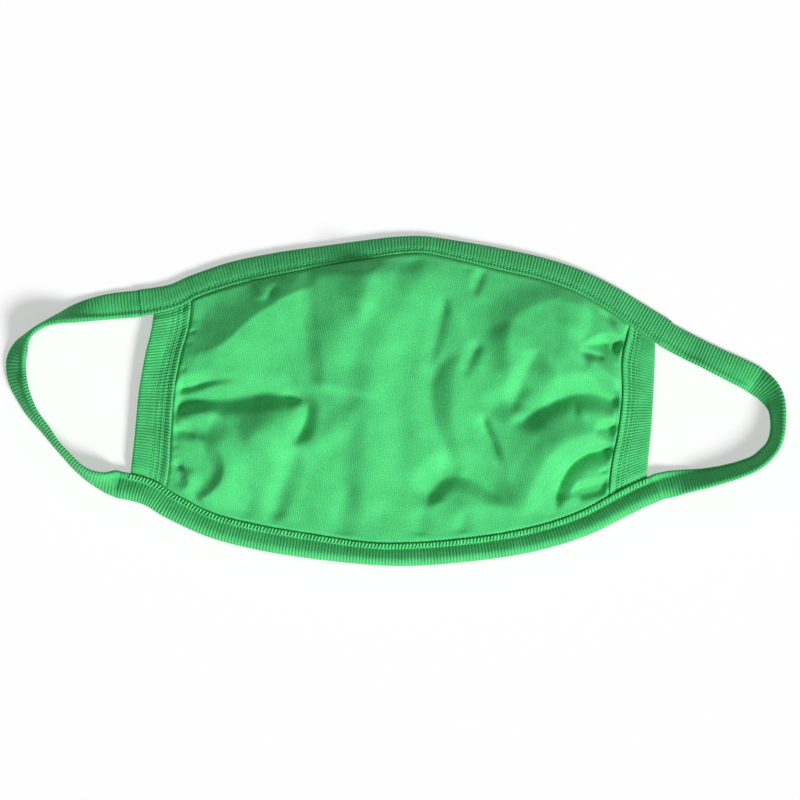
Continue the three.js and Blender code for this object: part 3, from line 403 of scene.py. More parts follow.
def fold_height(one, x, y):
    """How far one fold raises the cloth at each place."""
    reach = max(one["left"][0], one["right"][0])
    path = one["path"]
    near = (x > path["x"].min() - reach) & (x < path["x"].max() + reach)
    near &= (y > path["y"].min() - reach) & (y < path["y"].max() + reach)
    raised = np.zeros(x.shape)
    px, py = x[near], y[near]
    line = read_rows(path, np.linspace(0, 1, fold_steps * (len(path["x"]) - 1) + 1))
    nearest = np.full(px.shape, np.inf)
    side = np.zeros(px.shape)
    place = np.zeros(px.shape)
    travelled = 0.0
    for x0, y0, x1, y1 in zip(line["x"], line["y"], line["x"][1:], line["y"][1:]):
        dx, dy = x1 - x0, y1 - y0
        length = np.hypot(dx, dy)
        t = np.clip(((px - x0) * dx + (py - y0) * dy) / length**2, 0, 1)
        distance = np.hypot(px - x0 - t * dx, py - y0 - t * dy)
        closer = distance < nearest
        nearest = np.where(closer, distance, nearest)
        side = np.where(closer, dx * (py - y0) - dy * (px - x0), side)
        place = np.where(closer, travelled + t * length, place)
        travelled += length
    ends = smooth_step(place / one["fades"][0]) * smooth_step((travelled - place) / one["fades"][1])
    width, sharp = (np.where(side > 0, one["left"][k], one["right"][k]) for k in (0, 1))
    q = np.minimum(1, nearest / (width * (fold_end_width + (1 - fold_end_width) * ends)))
    flank = (1 - q) ** 2 * (1 + 2 * q * (1 - sharp))
    raised[near] = one["height"] * flank * ends
    return raised


cloth_thickness = 1.5
# Heights of the middle of the slots that hold the cloth's edge, and of the dome above it.
slot_middle = 2.05
dome_height = 4.6
# How steeply the dome rises from its lower hem, falls to its upper one and falls to its sides.
lower_rise = 1.25
upper_fall = 0.9
side_fall = 0.65
# The cloth swells up right beside its seams, and less so along its lower hem.
seam_puff = 1.4
seam_puff_reach = 0.6
lower_puff_share = 0.6
lower_puff_reach = 12
# The folds die away towards the seams over these lengths.
binding_ramp = 2.5
band_ramp = 1.5
seam_inset = 0.5
# The seams along the bands stand up between their ends.
band_lift = 2.8
band_lift_reach = 9.0
# The cloth settles softly where a fold would sink it lower than this.
resting_height = 1.2
resting_softness = 0.6
smoothing_rounds = 2
smoothing_share = 0.2
# The grid of the cloth is closer towards its seams.
columns, lines = 250, 164
crowding = 0.4
# How far the cloth's edge reaches into the slots, and the width of the bands over it.
tuck = 1.4
band_width = 14.4
cut_width, cut_height = 196.0, 128.0
# Small soft bumps of the cloth: size along x, size along y, which bumps they are, and their height.
cloth_ripples = ((7, 9, 0.3, 0.35), (2.6, 3.4, 4.1, 0.10))


def rise_from(distance, reach):
    """Rises from 0 where something is held to nearly 1, most of the way within a reach of it."""
    return 1 - np.exp(-((np.maximum(0, distance) / reach) ** 1.5))


def band_rise(y, bottom_y, top_y):
    """How far a side band's inner edge stands above the table along its length, its ends held down."""
    return band_lift * rise_from(np.minimum(y - bottom_y, top_y - y), band_lift_reach)


def ramp(distance, reach):
    """How fully the folds stand at a distance from a seam."""
    return rise_from(distance - seam_inset, reach)


def bumps(points, ripples):
    """How high or low the soft bumps of a table of ripples are at each point."""
    heights = 0
    for wide, deep, which, height in ripples:
        spots = points[..., :2].reshape(-1, 2) / (wide, deep)
        heights = heights + height * np.array([noise.noise(Vector((x, y, which))) for x, y in spots])
    return heights.reshape(points.shape[:-1])


u, v = np.meshgrid(*(
    even - crowding * np.sin(2 * np.pi * even) / (2 * np.pi)
    for even in (np.linspace(0, 1, columns), np.linspace(0, 1, lines))
), indexing="ij")
x, y, bottom, top = body_plan(u, v)
relief = swell_height(x, y) + sum(fold_height(one, x, y) for one in folds.values())
left_x, right_x = x[:1], x[-1:]
shelter = ramp(top["y"] - y, binding_ramp) * ramp(y - bottom["y"], binding_ramp)
shelter *= ramp(x - left_x, band_ramp) * ramp(right_x - x, band_ramp)
side_rise = band_rise(y, bottom["y"], top["y"]) * np.maximum(1 - u, u) ** 2
lift = np.maximum(bottom["lift"] * (1 - v) + top["lift"] * v, side_rise)
arch = np.where(v < 0.5, smooth_step(2 * v) ** lower_rise, (4 * v * (1 - v)) ** upper_fall)
arch *= (4 * u * (1 - u)) ** side_fall
seam_distance = np.minimum(np.minimum(top["y"] - y, y - bottom["y"]), np.minimum(x - left_x, right_x - x))
puff = seam_puff * rise_from(seam_distance, seam_puff_reach)
puff *= lower_puff_share + (1 - lower_puff_share) * smooth_step((y - bottom["y"]) / lower_puff_reach)
relief += bumps(np.stack([x, y], -1), cloth_ripples)
z = slot_middle + lift + puff + dome_height * arch + relief * shelter
settled = resting_height + resting_softness * np.log1p(np.exp((z - resting_height) / resting_softness))
z = np.where(shelter > 0, settled, z)
for _ in range(smoothing_rounds):
    around = z[:-2, 1:-1] + z[2:, 1:-1] + z[1:-1, :-2] + z[1:-1, 2:]
    z[1:-1, 1:-1] += smoothing_share * (around - 4 * z[1:-1, 1:-1])

sheet = np.stack([x, y, z], -1)
# The edge goes a little way into the fold that holds it, except at the corners.
side_tuck = tuck * smooth_step(8 * np.minimum(v, 1 - v))
hem_tuck = tuck * smooth_step(16 * np.minimum(u, 1 - u))
tucked = np.concatenate([sheet[:1], sheet, sheet[-1:]], 0)
for end, outwards in ((0, -1), (-1, 1)):
    tucked[end, :, 0] += outwards * side_tuck[end]
    tucked[end, :, 2] -= side_tuck[end] * side_rise[end] / band_width
tucked = np.concatenate([tucked[:, :1], tucked, tucked[:, -1:]], 1)
for end, seam in ((0, bottom), (-1, top)):
    for axis, name in enumerate(("out_x", "out_y")):
        tucked[1:-1, end, axis] += seam[name][:, 0] * hem_tuck[:, 0]
    tucked[1:-1, end, 2] -= hem_tuck[:, 0] * (seam["lift"] / seam["width"])[:, 0]
spread = np.pad(np.stack([u * cut_width, v * cut_height], -1), ((1, 1), (1, 1), (0, 0)), "edge")


def mesh_object(name, points, faces, uv):
    """An object from points in millimetres, with the cloth's own flat coordinates as its UV map."""
    mesh = bpy.data.meshes.new(name)
    mesh.from_pydata((np.asarray(points) * MM).tolist(), [], faces)
    flat = mesh.uv_layers.new(name="cloth")
    flat.data.foreach_set("uv", np.asarray(uv, float).ravel())
    mesh.polygons.foreach_set("use_smooth", np.ones(len(faces), bool))
    made = bpy.data.objects.new(name, mesh)
    bpy.context.collection.objects.link(made)
    return made


def double_sheet(name, middle_points, thickness, uv):
    """A closed sheet: the grid of points raised and lowered by half its thickness, with its rim."""
    n, m = middle_points.shape[:2]
    raised = np.array([0, 0, thickness / 2])
    points = np.concatenate([(middle_points + way * raised).reshape(-1, 3) for way in (1, -1)])
    number = np.arange(n * m).reshape(n, m)
    upper = np.stack([number[:-1, :-1], number[1:, :-1], number[1:, 1:], number[:-1, 1:]], -1)
    upper = upper.reshape(-1, 4)
    lower = upper[:, ::-1] + n * m
    around = np.concatenate([number[:-1, 0], number[-1, :-1], number[:0:-1, -1], number[0, :0:-1]])
    following = np.roll(around, -1)
    rim = np.stack([around, around + n * m, following + n * m, following], -1)
    faces = np.concatenate([upper, lower, rim])
    both = np.tile(uv.reshape(-1, 2), (2, 1))
    return mesh_object(name, points, faces.tolist(), both[faces.ravel()])


body = double_sheet("body_panel_cloth", tucked, cloth_thickness, spread)


def node_tree(kind, name, inputs, outputs):
    """An empty node tree with its inputs and outputs, given as their names and kinds."""
    tree = bpy.data.node_groups.new(name, kind)
    for way, sockets in (("INPUT", inputs), ("OUTPUT", outputs)):
        for label, socket_kind in sockets.items():
            tree.interface.new_socket(label, in_out=way, socket_type="NodeSocket" + socket_kind)
    return tree


class Wiring:
    """Adds nodes to a tree and links them, so that a formula reads in order."""

    def __init__(self, tree):
        self.tree = tree

    def node(self, kind, inputs=None, **settings):
        made = self.tree.nodes.new(kind)
        for label, value in settings.items():
            setattr(made, label, value)
        plug(made, inputs or {})
        return made

    def math(self, operation, *values):
        return self.node("ShaderNodeMath", dict(enumerate(values)), operation=operation).outputs[0]

    def attribute(self, name, kind):
        return self.node("GeometryNodeInputNamedAttribute", {"Name": name}, data_type=kind).outputs[0]

    def cloud(self, place, scale, detail, roughness=0.5):
        inputs = {"Vector": place, "Scale": scale, "Detail": detail, "Roughness": roughness}
        return self.node("ShaderNodeTexNoise", inputs).outputs["Fac"]

    def colour(self, shade, low, dark, high, light):
        """The colour that goes from dark to light as a shade goes from low to high."""
        mixed = self.node("ShaderNodeValToRGB", {"Fac": shade})
        for stop, position, tint in zip(mixed.color_ramp.elements, (low, high), (dark, light)):
            stop.position = position
            stop.color = (*tint, 1)
        return mixed.outputs["Color"]


# Stockinette: columns of V-shaped loops. The coordinates are millimetres on the flat cloth. Gap is how
# far a spot lies down between the loops; the materials darken it as painted shade.
knit = node_tree(
    "ShaderNodeTree", "knit loops",
    inputs={"Place": "Vector", "Wale": "Float", "Course": "Float", "Wander": "Float"},
    outputs={"Height": "Float", "Gap": "Float"},
)
wire = Wiring(knit)
entry = wire.node("NodeGroupInput").outputs
drift = wire.cloud(entry["Place"], scale=0.5, detail=2.0)
place = wire.node("ShaderNodeSeparateXYZ", {0: entry["Place"]}).outputs
across = wire.math("ADD", place["X"], wire.math("MULTIPLY", drift, entry["Wander"]))
column = wire.math("FRACT", wire.math("DIVIDE", across, entry["Wale"]))
off = wire.math("ABSOLUTE", wire.math("SUBTRACT", column, 0.5))
slant = wire.math("ADD", wire.math("DIVIDE", place["Y"], entry["Course"]), off)
loop = wire.math("ABSOLUTE", wire.math("SINE", wire.math("MULTIPLY", slant, np.pi)))
back = wire.math("SUBTRACT", 1.0, wire.math("MULTIPLY", wire.math("MULTIPLY", off, off), 4.0))
height = wire.math("MULTIPLY", back, wire.math("ADD", 0.55, wire.math("MULTIPLY", loop, 0.45)))
wire.node("NodeGroupOutput", {"Height": height, "Gap": wire.math("SUBTRACT", 1.0, height)})

# Cotton's unevenness: broad cloudiness from dyeing and washing, and the fine fuzz of loose fibres.
cotton = node_tree(
    "ShaderNodeTree", "cotton unevenness",
    inputs={"Place": "Vector"}, outputs={"Cloud": "Float", "Fuzz": "Float"},
)
wire = Wiring(cotton)
entry = wire.node("NodeGroupInput").outputs
wire.node("NodeGroupOutput", {
    "Cloud": wire.cloud(entry["Place"], scale=0.12, detail=4.0),
    "Fuzz": wire.cloud(entry["Place"], scale=1.3, detail=3.0, roughness=0.7),
})


def knit_material(name, light, dark, wale, course, wander, knit_depth, painted_gap_shade, grain):
    """A cotton knit whose loops follow the cloth's UV map, with painted shade in the gaps between them."""
    material = bpy.data.materials.new(name)
    material.use_nodes = True
    wire = Wiring(material.node_tree)
    place = wire.node("ShaderNodeUVMap", uv_map="cloth").outputs["UV"]
    loop_sizes = {"Wale": wale, "Course": course, "Wander": wander}
    loops = wire.node("ShaderNodeGroup", {"Place": place, **loop_sizes}, node_tree=knit).outputs
    uneven = wire.node("ShaderNodeGroup", {"Place": place}, node_tree=cotton).outputs
    cloudy = wire.math("MULTIPLY", uneven["Cloud"], 0.5)
    fuzzy = wire.math("ADD", wire.math("MULTIPLY", uneven["Fuzz"], grain), 0.25 - 0.5 * grain)
    # Painted shade: the colour is darkened where the cloth lies down between the loops and ribs.
    gap = wire.math("MULTIPLY", loops["Gap"], painted_gap_shade)
    shade = wire.math("SUBTRACT", wire.math("ADD", cloudy, fuzzy), gap)
    height = wire.math("ADD", loops["Height"], fuzzy)
    bump = wire.node("ShaderNodeBump", {"Height": height, "Strength": 0.6, "Distance": knit_depth * MM})
    plug(material.node_tree.nodes["Principled BSDF"], {
        "Base Color": wire.colour(shade, 0.15, dark, 0.65, light),
        "Roughness": wire.math("ADD", 0.82, wire.math("MULTIPLY", uneven["Fuzz"], 0.15)),
        "Normal": bump.outputs["Normal"],
        "Specular IOR Level": 0.2, "Sheen Weight": 0.15, "Sheen Roughness": 0.5,
    })
    return material


body.data.materials.append(knit_material(
    "fine jersey", light=(0.084, 0.65, 0.196), dark=(0.050, 0.45, 0.136),
    wale=0.8, course=0.6, wander=0.5, knit_depth=0.12, painted_gap_shade=0.25, grain=1.3,
))
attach(body, "root")
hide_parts("body_panel")

# ---------------------------------------------------------------------------------------------------
# Bindings: one strip of 1x1 cotton rib along the top edge and one along the bottom edge. Each is folded
# over the body's edge, its ribs running across the strip, and stitched through near its inner edge.
rib_pitch = 1.28
rib_steps = 8
rib_depth = 0.20
furrow_sharpness = 1.6
rib_layer = 1.0
# The slot along a fold's inner edge: its top, its depth as a share of the fold, the points of its walls.
slot_top = 2.95
slot_share = 0.17
slot_points = 4
# Any hand-sewn strip is a little uneven. Its bumps are given as the body's are.
strip_ripples = ((5, 5, 0.7, 0.16), (1.9, 1.9, 0.7, 0.064))

# Height of the fold's upper face, from 0 at the inner edge to 1 at the folded outer edge, and how deep
# the furrows between the ribs are there. The top strip leans flat, the bottom one rolls up outside its
# seam.
top_face = rows(
    "across upper furrow",
    (0, 3.15, 0.2), (0.02, 3.45, 0.4), (0.05, 3.6, 0.5), (0.09, 3.62, 0.5), (0.13, 3.5, 0.5),
    (0.17, 3.3, 0.7), (0.21, 3.2, 0.8), (0.26, 3.25, 0.7), (0.31, 3.35, 0.6), (0.37, 3.4, 0.6),
    (0.44, 3.38, 0.6), (0.51, 3.3, 0.6), (0.58, 3.2, 0.6), (0.65, 3.1, 0.7), (0.72, 2.98, 0.7),
    (0.79, 2.85, 0.8), (0.85, 2.72, 0.8), (0.9, 2.55, 0.9), (0.94, 2.35, 0.9), (0.97, 2.05, 0.9),
    (0.99, 1.75, 0.9), (1, 1.3, 0.9),
)
bottom_face = rows(
    "across upper furrow",
    (0, 3.3, 0.1), (0.02, 3.6, 0.2), (0.05, 3.75, 0.3), (0.09, 3.74, 0.3), (0.13, 3.55, 0.4),
    (0.17, 3.22, 0.5), (0.21, 2.92, 0.6), (0.26, 2.98, 0.5), (0.31, 3.32, 0.4), (0.37, 3.78, 0.4),
    (0.44, 4.22, 0.5), (0.51, 4.64, 0.6), (0.58, 5.04, 0.8), (0.65, 5.36, 1), (0.72, 5.42, 1.2),
    (0.79, 5.15, 1.3), (0.85, 4.7, 1.3), (0.9, 4.1, 1.3), (0.94, 3.45, 1.2), (0.97, 2.75, 1.2),
    (0.99, 2.15, 1.1), (1, 1.5, 1),
)
binding_back = rows(
    "across lower furrow",
    (0, 0.15, 0), (0.05, 0, 0.2), (0.2, 0, 0.3), (0.4, 0, 0.3), (0.6, 0, 0.3), (0.8, 0, 0.4),
    (0.9, 0.15, 0.6), (0.95, 0.5, 0.9), (0.985, 1.2, 1),
)


def skin(face, back):
    """A fold's outer skin as one run of points: under it outwards, and over the top back again."""
    across = np.concatenate([back["across"], face["across"][::-1]])
    height = np.concatenate([back["lower"], face["upper"][::-1]])
    furrow = np.concatenate([back["furrow"], face["furrow"][::-1]])
    return across, height, furrow


def slotted_skin(face, back, share):
    """A fold's skin with the walls of the slot in its inner edge, which reach in by a share of the fold,
    and a mark of 1 on the points of its upper face."""
    across, height, furrow = skin(face, back)
    across = np.concatenate([across, [0, share, share, 0]])
    height = np.concatenate([height, [slot_top, slot_top, rib_layer, rib_layer]])
    walls = np.zeros(slot_points)
    upper = np.concatenate([np.zeros(len(back["across"])), np.ones(len(face["across"])), walls])
    return across, height, np.concatenate([furrow, walls]), upper


def run_length(points):
    """How far along a line of points each of them lies."""
    return np.concatenate([[0], np.cumsum(np.linalg.norm(np.diff(points, axis=0), axis=1))])


def pitch_along(along):
    """The rib pitch that fits a whole number of ribs into a strip."""
    return along[-1] / round(along[-1] / rib_pitch)


def stations_for(length):
    """How many rings a strip needs for its ribs."""
    return round(length / rib_pitch) * rib_steps + 1


def keep_on_points(mesh, label, kind, values):
    """Keeps a value or a direction on each point of a mesh, for a geometry tree to read."""
    key = "vector" if kind == "FLOAT_VECTOR" else "value"
    mesh.attributes.new(label, kind, "POINT").data.foreach_set(key, np.asarray(values, float).ravel())


def swept(name, rings, furrow, along):
    """A closed strip from rings of points, with what its rib relief needs kept on its points."""
    count, size = rings.shape[:2]
    number = np.arange(count * size).reshape(count, size)
    beside = np.roll(number, -1, 1)
    faces = np.stack([number[:-1], beside[:-1], beside[1:], number[1:]], -1).reshape(-1, 4)
    ends = [number[0, ::-1].tolist(), number[-1].tolist()]
    forward = np.gradient(rings, axis=0)
    around = np.roll(rings, -1, 1) - np.roll(rings, 1, 1)
    outwards = np.cross(around, forward)
    outwards /= np.maximum(np.linalg.norm(outwards, axis=2, keepdims=True), 1e-9)
    inside_out = ((rings - rings.mean(1, keepdims=True)) * outwards).sum() < 0
    girth = np.linalg.norm(np.roll(rings, -1, 1) - rings, axis=2).mean(0)
    girth = np.concatenate([[0], np.cumsum(girth)])
    ribs = along * rib_pitch / pitch_along(along)
    low_uv, high_uv = (
        np.stack(np.broadcast_arrays(ribs[:, None], part), -1) for part in (girth[:-1], girth[1:])
    )
    uv = np.stack([low_uv[:-1], high_uv[:-1], high_uv[1:], low_uv[1:]], 2).reshape(-1, 4, 2)
    if inside_out:
        faces, uv, outwards = faces[:, ::-1], uv[:, ::-1], -outwards
        ends = [end[::-1] for end in ends]
    uv = np.concatenate([uv.reshape(-1, 2), low_uv[0][::-1], low_uv[-1]])
    made = mesh_object(name, rings.reshape(-1, 3), faces.tolist() + ends, uv)
    for end in made.data.polygons[-2:]:
        end.use_smooth = False
    keep_on_points(made.data, "outwards", "FLOAT_VECTOR", outwards)
    keep_on_points(made.data, "along", "FLOAT", np.repeat(along, size))
    keep_on_points(made.data, "furrow", "FLOAT", furrow)
    return made


def close(wire, geometry, material):
    """Ends a geometry tree: its copies are made real and get their material."""
    real = wire.node("GeometryNodeRealizeInstances", {"Geometry": geometry}).outputs[0]
    dyed = wire.node("GeometryNodeSetMaterial", {"Geometry": real, "Material": material}).outputs[0]
    wire.node("NodeGroupOutput", {"Geometry": dyed})


# Rib relief: sinks the furrows between the ribs into a strip that was made smooth.
rib_relief = node_tree(
    "GeometryNodeTree", "rib relief",
    inputs={"Geometry": "Geometry", "Rib pitch": "Float", "Rib depth": "Float", "Material": "Material"},
    outputs={"Geometry": "Geometry"},
)
wire = Wiring(rib_relief)
entry = wire.node("NodeGroupInput").outputs
ribs_passed = wire.math("DIVIDE", wire.attribute("along", "FLOAT"), entry["Rib pitch"])
wave = wire.math("COSINE", wire.math("MULTIPLY", ribs_passed, 2 * np.pi))
hollow = wire.math("POWER", wire.math("ADD", 0.5, wire.math("MULTIPLY", wave, 0.5)), furrow_sharpness)
depth = wire.math("MULTIPLY", hollow, wire.attribute("furrow", "FLOAT"))
sunk = wire.math("MULTIPLY", wire.math("MULTIPLY", depth, entry["Rib depth"]), -MM)
outward = wire.attribute("outwards", "FLOAT_VECTOR")
shift = wire.node("ShaderNodeVectorMath", {0: outward, "Scale": sunk}, operation="SCALE").outputs[0]
moved = wire.node("GeometryNodeSetPosition", {"Geometry": entry["Geometry"], "Offset": shift}).outputs[0]
close(wire, moved, entry["Material"])


def finished(rough, tree, inputs):
    """Runs a geometry tree on an object and keeps the result as its plain mesh."""
    modifier = rough.modifiers.new(tree.name, "NODES")
    modifier.node_group = tree
    for item in tree.interface.items_tree:
        if item.in_out == "INPUT" and item.name in inputs:
            modifier[item.identifier] = inputs[item.name]
    graph = bpy.context.evaluated_depsgraph_get()
    mesh = bpy.data.meshes.new_from_object(rough.evaluated_get(graph), depsgraph=graph)
    rough.modifiers.remove(modifier)
    rough.data = mesh
    return rough


def rib_material(name, light, dark, painted_gap_shade):
    """Cotton rib, whose wales are as wide as its ribs."""
    return knit_material(
        name, light, dark, wale=rib_pitch, course=0.85, wander=0.0, knit_depth=0.15, painted_gap_shade=painted_gap_shade,
        grain=0.9,
    )


def ribbed(rough, along, material):
    """A smooth strip given its ribs."""
    inputs = {"Rib pitch": pitch_along(along), "Rib depth": rib_depth, "Material": material}
    return finished(rough, rib_relief, inputs)


def binding(name, edge, inward_turn, face):
    """A binding strip, open along its inner edge where the body's edge is held."""
    rough = binding_stations(edge, inward_turn, seam_detail // 2)
    middle_line = np.stack([rough[axis] + rough["out_" + axis] * rough["width"] / 2 for axis in "xy"], 1)
    seam = binding_stations(edge, inward_turn, stations_for(run_length(middle_line)[-1]))
    across, height, furrow, upper = slotted_skin(face, binding_back, slot_share)
    reach = across[None] * seam["width"][:, None]
    rings = np.stack([
        seam["x"][:, None] + seam["out_x"][:, None] * reach,
        seam["y"][:, None] + seam["out_y"][:, None] * reach,
        height[None] + seam["lift"][:, None] * (1 - across[None]),
    ], -1)
    rings[..., 2] += bumps(rings, strip_ripples) * upper
    along = run_length(rings.mean(1)[:, :2])
    strip = swept(name, rings, np.broadcast_to(furrow, rings.shape[:2]), along)
    return ribbed(strip, along, shaded_rib_knit), seam, rings


# Painted shade: this rib is coloured darker than the jersey though it is the same dye, for the shade in its
# furrows, and darker again than the side bands' rib, for the shade where the top binding and ear loops lean
# away from the lamp.
shaded_rib_knit = rib_material("binding rib", (0.072, 0.56, 0.172), (0.038, 0.34, 0.105), painted_gap_shade=0.18)
top_binding, top_line, top_rings = binding("top_binding_rib", top_edge, -1, top_face)
bottom_binding, bottom_line, bottom_rings = binding("bottom_binding_rib", bottom_edge, 1, bottom_face)

# Stitches: one arched length of thread at each point of a row, turned along the row.
stitching = node_tree(
    "GeometryNodeTree", "stitching",
    inputs={
        "Geometry": "Geometry", "Stitch length": "Float", "Rise": "Float", "Thread": "Float",
        "Material": "Material",
    },
    outputs={"Geometry": "Geometry"},
)
wire = Wiring(stitching)
entry = wire.node("NodeGroupInput").outputs
begin, end = (wire.math("MULTIPLY", entry["Stitch length"], share) for share in (-0.5, 0.5))
crown = wire.math("MULTIPLY", entry["Rise"], 2.0)
arc = wire.node("GeometryNodeCurveQuadraticBezier", {
    "Resolution": 5, "Start": wire.node("ShaderNodeCombineXYZ", {"X": begin}).outputs[0],
    "Middle": wire.node("ShaderNodeCombineXYZ", {"Z": crown}).outputs[0],
    "End": wire.node("ShaderNodeCombineXYZ", {"X": end}).outputs[0],
}).outputs[0]
ring = wire.node("GeometryNodeCurvePrimitiveCircle", {
    "Resolution": 5, "Radius": entry["Thread"]}).outputs[0]
stitch = wire.node("GeometryNodeCurveToMesh", {
    "Curve": arc, "Profile Curve": ring, "Fill Caps": True}).outputs[0]
turned = wire.node("FunctionNodeAxesToRotation", {
    "Primary Axis": wire.attribute("run", "FLOAT_VECTOR"),
    "Secondary Axis": wire.attribute("outwards", "FLOAT_VECTOR"),
}, primary_axis="X", secondary_axis="Z").outputs[0]
set_out = wire.node("GeometryNodeInstanceOnPoints", {
    "Points": entry["Geometry"], "Instance": stitch, "Rotation": turned}).outputs[0]
close(wire, set_out, entry["Material"])

# Sewing thread: three plies twisted together, a shade lighter than the cloth.
thread = bpy.data.materials.new("sewing thread")
thread.use_nodes = True
wire = Wiring(thread.node_tree)
place = wire.node("ShaderNodeTexCoord").outputs["Object"]
plies = wire.node("ShaderNodeTexWave", {
    "Vector": place, "Scale": 1400.0, "Distortion": 3.0}, bands_direction="DIAGONAL").outputs["Fac"]
patches = wire.cloud(place, scale=600.0, detail=2.0)
bump = wire.node("ShaderNodeBump", {"Height": plies, "Strength": 0.5, "Distance": 0.06 * MM})
plug(thread.node_tree.nodes["Principled BSDF"], {
    "Base Color": wire.colour(patches, 0.3, (0.070, 0.52, 0.165), 0.7, (0.110, 0.74, 0.250)),
    "Normal": bump.outputs["Normal"], "Roughness": 0.7, "Specular IOR Level": 0.3,
})


def stitch_rows(name, spots, runs, outwards, length, rise, radius):
    """A row of stitches at the given spots, in millimetres."""
    mesh = bpy.data.meshes.new(name)
    mesh.from_pydata((np.asarray(spots) * MM).tolist(), [], [])
    keep_on_points(mesh, "run", "FLOAT_VECTOR", runs)
    keep_on_points(mesh, "outwards", "FLOAT_VECTOR", outwards)
    made = bpy.data.objects.new(name, mesh)
    bpy.context.collection.objects.link(made)
    sizes = {"Stitch length": length * MM, "Rise": rise * MM, "Thread": radius * MM}
    return finished(made, stitching, {**sizes, "Material": thread})


def on_strip(rings, face, across, places):
    """Spots on a strip's upper face, with the strip's direction and its face's outward direction there."""
    last = rings.shape[1] - slot_points - 1
    first = last + 1 - len(face["across"])
    column = np.interp(across, face["across"], first + np.arange(len(face["across"]))[::-1])
    low, high = int(column), min(int(column) + 1, last)
    line = rings[:, low] * (1 - column % 1) + rings[:, high] * (column % 1)
    beside = rings[:, min(high + 2, last)] - rings[:, max(low - 2, first)]
    travelled = run_length(line)
    stations = np.arange(len(travelled))
    at = np.interp(places, travelled, stations)
    spots, sideways, runs = (
        np.stack([np.interp(at, stations, part[:, axis]) for axis in range(3)], 1)
        for part in (line, beside, np.gradient(line, axis=0))
    )
    runs /= np.linalg.norm(runs, axis=1, keepdims=True)
    outwards = np.cross(runs, sideways)
    outwards *= np.sign(outwards[:, 2:]) / np.linalg.norm(outwards, axis=1, keepdims=True)
    return spots, runs, outwards


def turned_by(runs, outwards, degrees):
    """Each direction turned about its own outward direction."""
    angle = np.radians(degrees)[:, None]
    return runs * np.cos(angle) + np.cross(outwards, runs) * np.sin(angle)


# The bottom strip's seam is a looper chain: short loops that overlap like beads along the raised lip. Each
# is swung well across the lip, in degrees, and the swing varies from loop to loop.
row_start = 1.5
chain_pitch = 1.36
chain_line = 0.125
chain_end_share = 0.985
chain_swing = 76
chain_swing_change = 10
chain_sink = 0.02
chain_length = run_length(bottom_rings.mean(1))[-1]
chain_places = np.arange(row_start, chain_end_share * chain_length, chain_pitch)
swings = chain_swing + chain_swing_change * np.sin(1.7 * np.arange(len(chain_places)))
spots, runs, outwards = on_strip(bottom_rings, bottom_face, chain_line, chain_places)
chain = stitch_rows(
    "bottom_binding_chain", spots - chain_sink * outwards, turned_by(runs, outwards, swings), outwards,
    length=2.0, rise=0.22, radius=0.36,
)

# The top strip's is a row of short stitches sunk in the cloth, two ribs apart. It zigzags where the corners
# are held.
row_pitch = 2 * rib_pitch
row_line = 0.22
row_end = 1
row_swing = 4.0
left_zigzag = 30
right_zigzag = 22
zigzag_swing = 48.0
row_length = run_length(top_rings.mean(1))[-1]
row_places = np.arange(row_start, row_length - row_end, row_pitch)
held = (row_places < left_zigzag) | (row_places > row_length - right_zigzag)
zigzag = np.where(np.arange(len(row_places)) % 2, zigzag_swing, -zigzag_swing)
swings = np.where(held, zigzag, row_swing)
spots, runs, outwards = on_strip(top_rings, top_face, row_line, row_places)
row = stitch_rows(
    "top_binding_stitches", spots, turned_by(runs, outwards, swings), outwards,
    length=1.5, rise=0.10, radius=0.15,
)
for piece in (chain, row):
    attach(piece, "root")
for piece, node in ((top_binding, "top_binding"), (bottom_binding, "bottom_binding")):
    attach(piece, "root")
    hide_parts(node)

# ---------------------------------------------------------------------------------------------------
# Side bands: short strips of the same rib, folded over the gathered sides of the body with the ribs
# running across them. Three needle lines hold the gathers, and the ends are tucked into the bindings.
band_face = rows(
    "across upper furrow",
    (0, 3.4, 0.1), (0.012, 4, 0.2), (0.03, 4.3, 0.4), (0.06, 4.32, 0.5), (0.09, 4.2, 0.6),
    (0.13, 3.98, 0.8), (0.165, 3.8, 1), (0.185, 3.65, 1.6), (0.2, 3.58, 2), (0.215, 3.65, 1.6),
    (0.235, 3.8, 0.9), (0.265, 3.9, 0.7), (0.295, 3.8, 1.1), (0.31, 3.68, 1.6), (0.325, 3.6, 2),
    (0.34, 3.68, 1.6), (0.36, 3.82, 0.9), (0.4, 3.92, 0.7), (0.435, 3.85, 0.9), (0.455, 3.75, 1.3),
    (0.475, 3.85, 0.8), (0.52, 3.95, 0.7), (0.6, 4, 0.7), (0.7, 4.05, 0.7), (0.8, 4.05, 0.7),
    (0.87, 4.05, 0.7), (0.92, 4, 0.7), (0.955, 3.9, 0.7), (0.98, 3.6, 0.7), (0.994, 3, 0.8), (1, 2, 1),
)
band_back = rows(
    "across lower furrow",
    (0, 0.15, 0), (0.05, 0, 0.2), (0.25, 0, 0.3), (0.45, 0, 0.3), (0.65, 0, 0.3), (0.85, 0, 0.4),
    (0.94, 0.15, 0.6), (0.98, 0.6, 0.9), (0.995, 1.3, 1),
)
band_slot_share = 0.12
# How far a band's ends reach into the bindings: where each tab starts, and where it ends.
band_tab_start = 0.3
band_tab = 1.4
band_tab_thickness = 1.6
band_end_height = 0.72
band_end_reach = 4.0
# The ribs waver a little from side to side, also given as the body's bumps are.
band_ripples = ((10, 6.25, 0.7, 0.3), (3.8, 2.375, 0.7, 0.12))


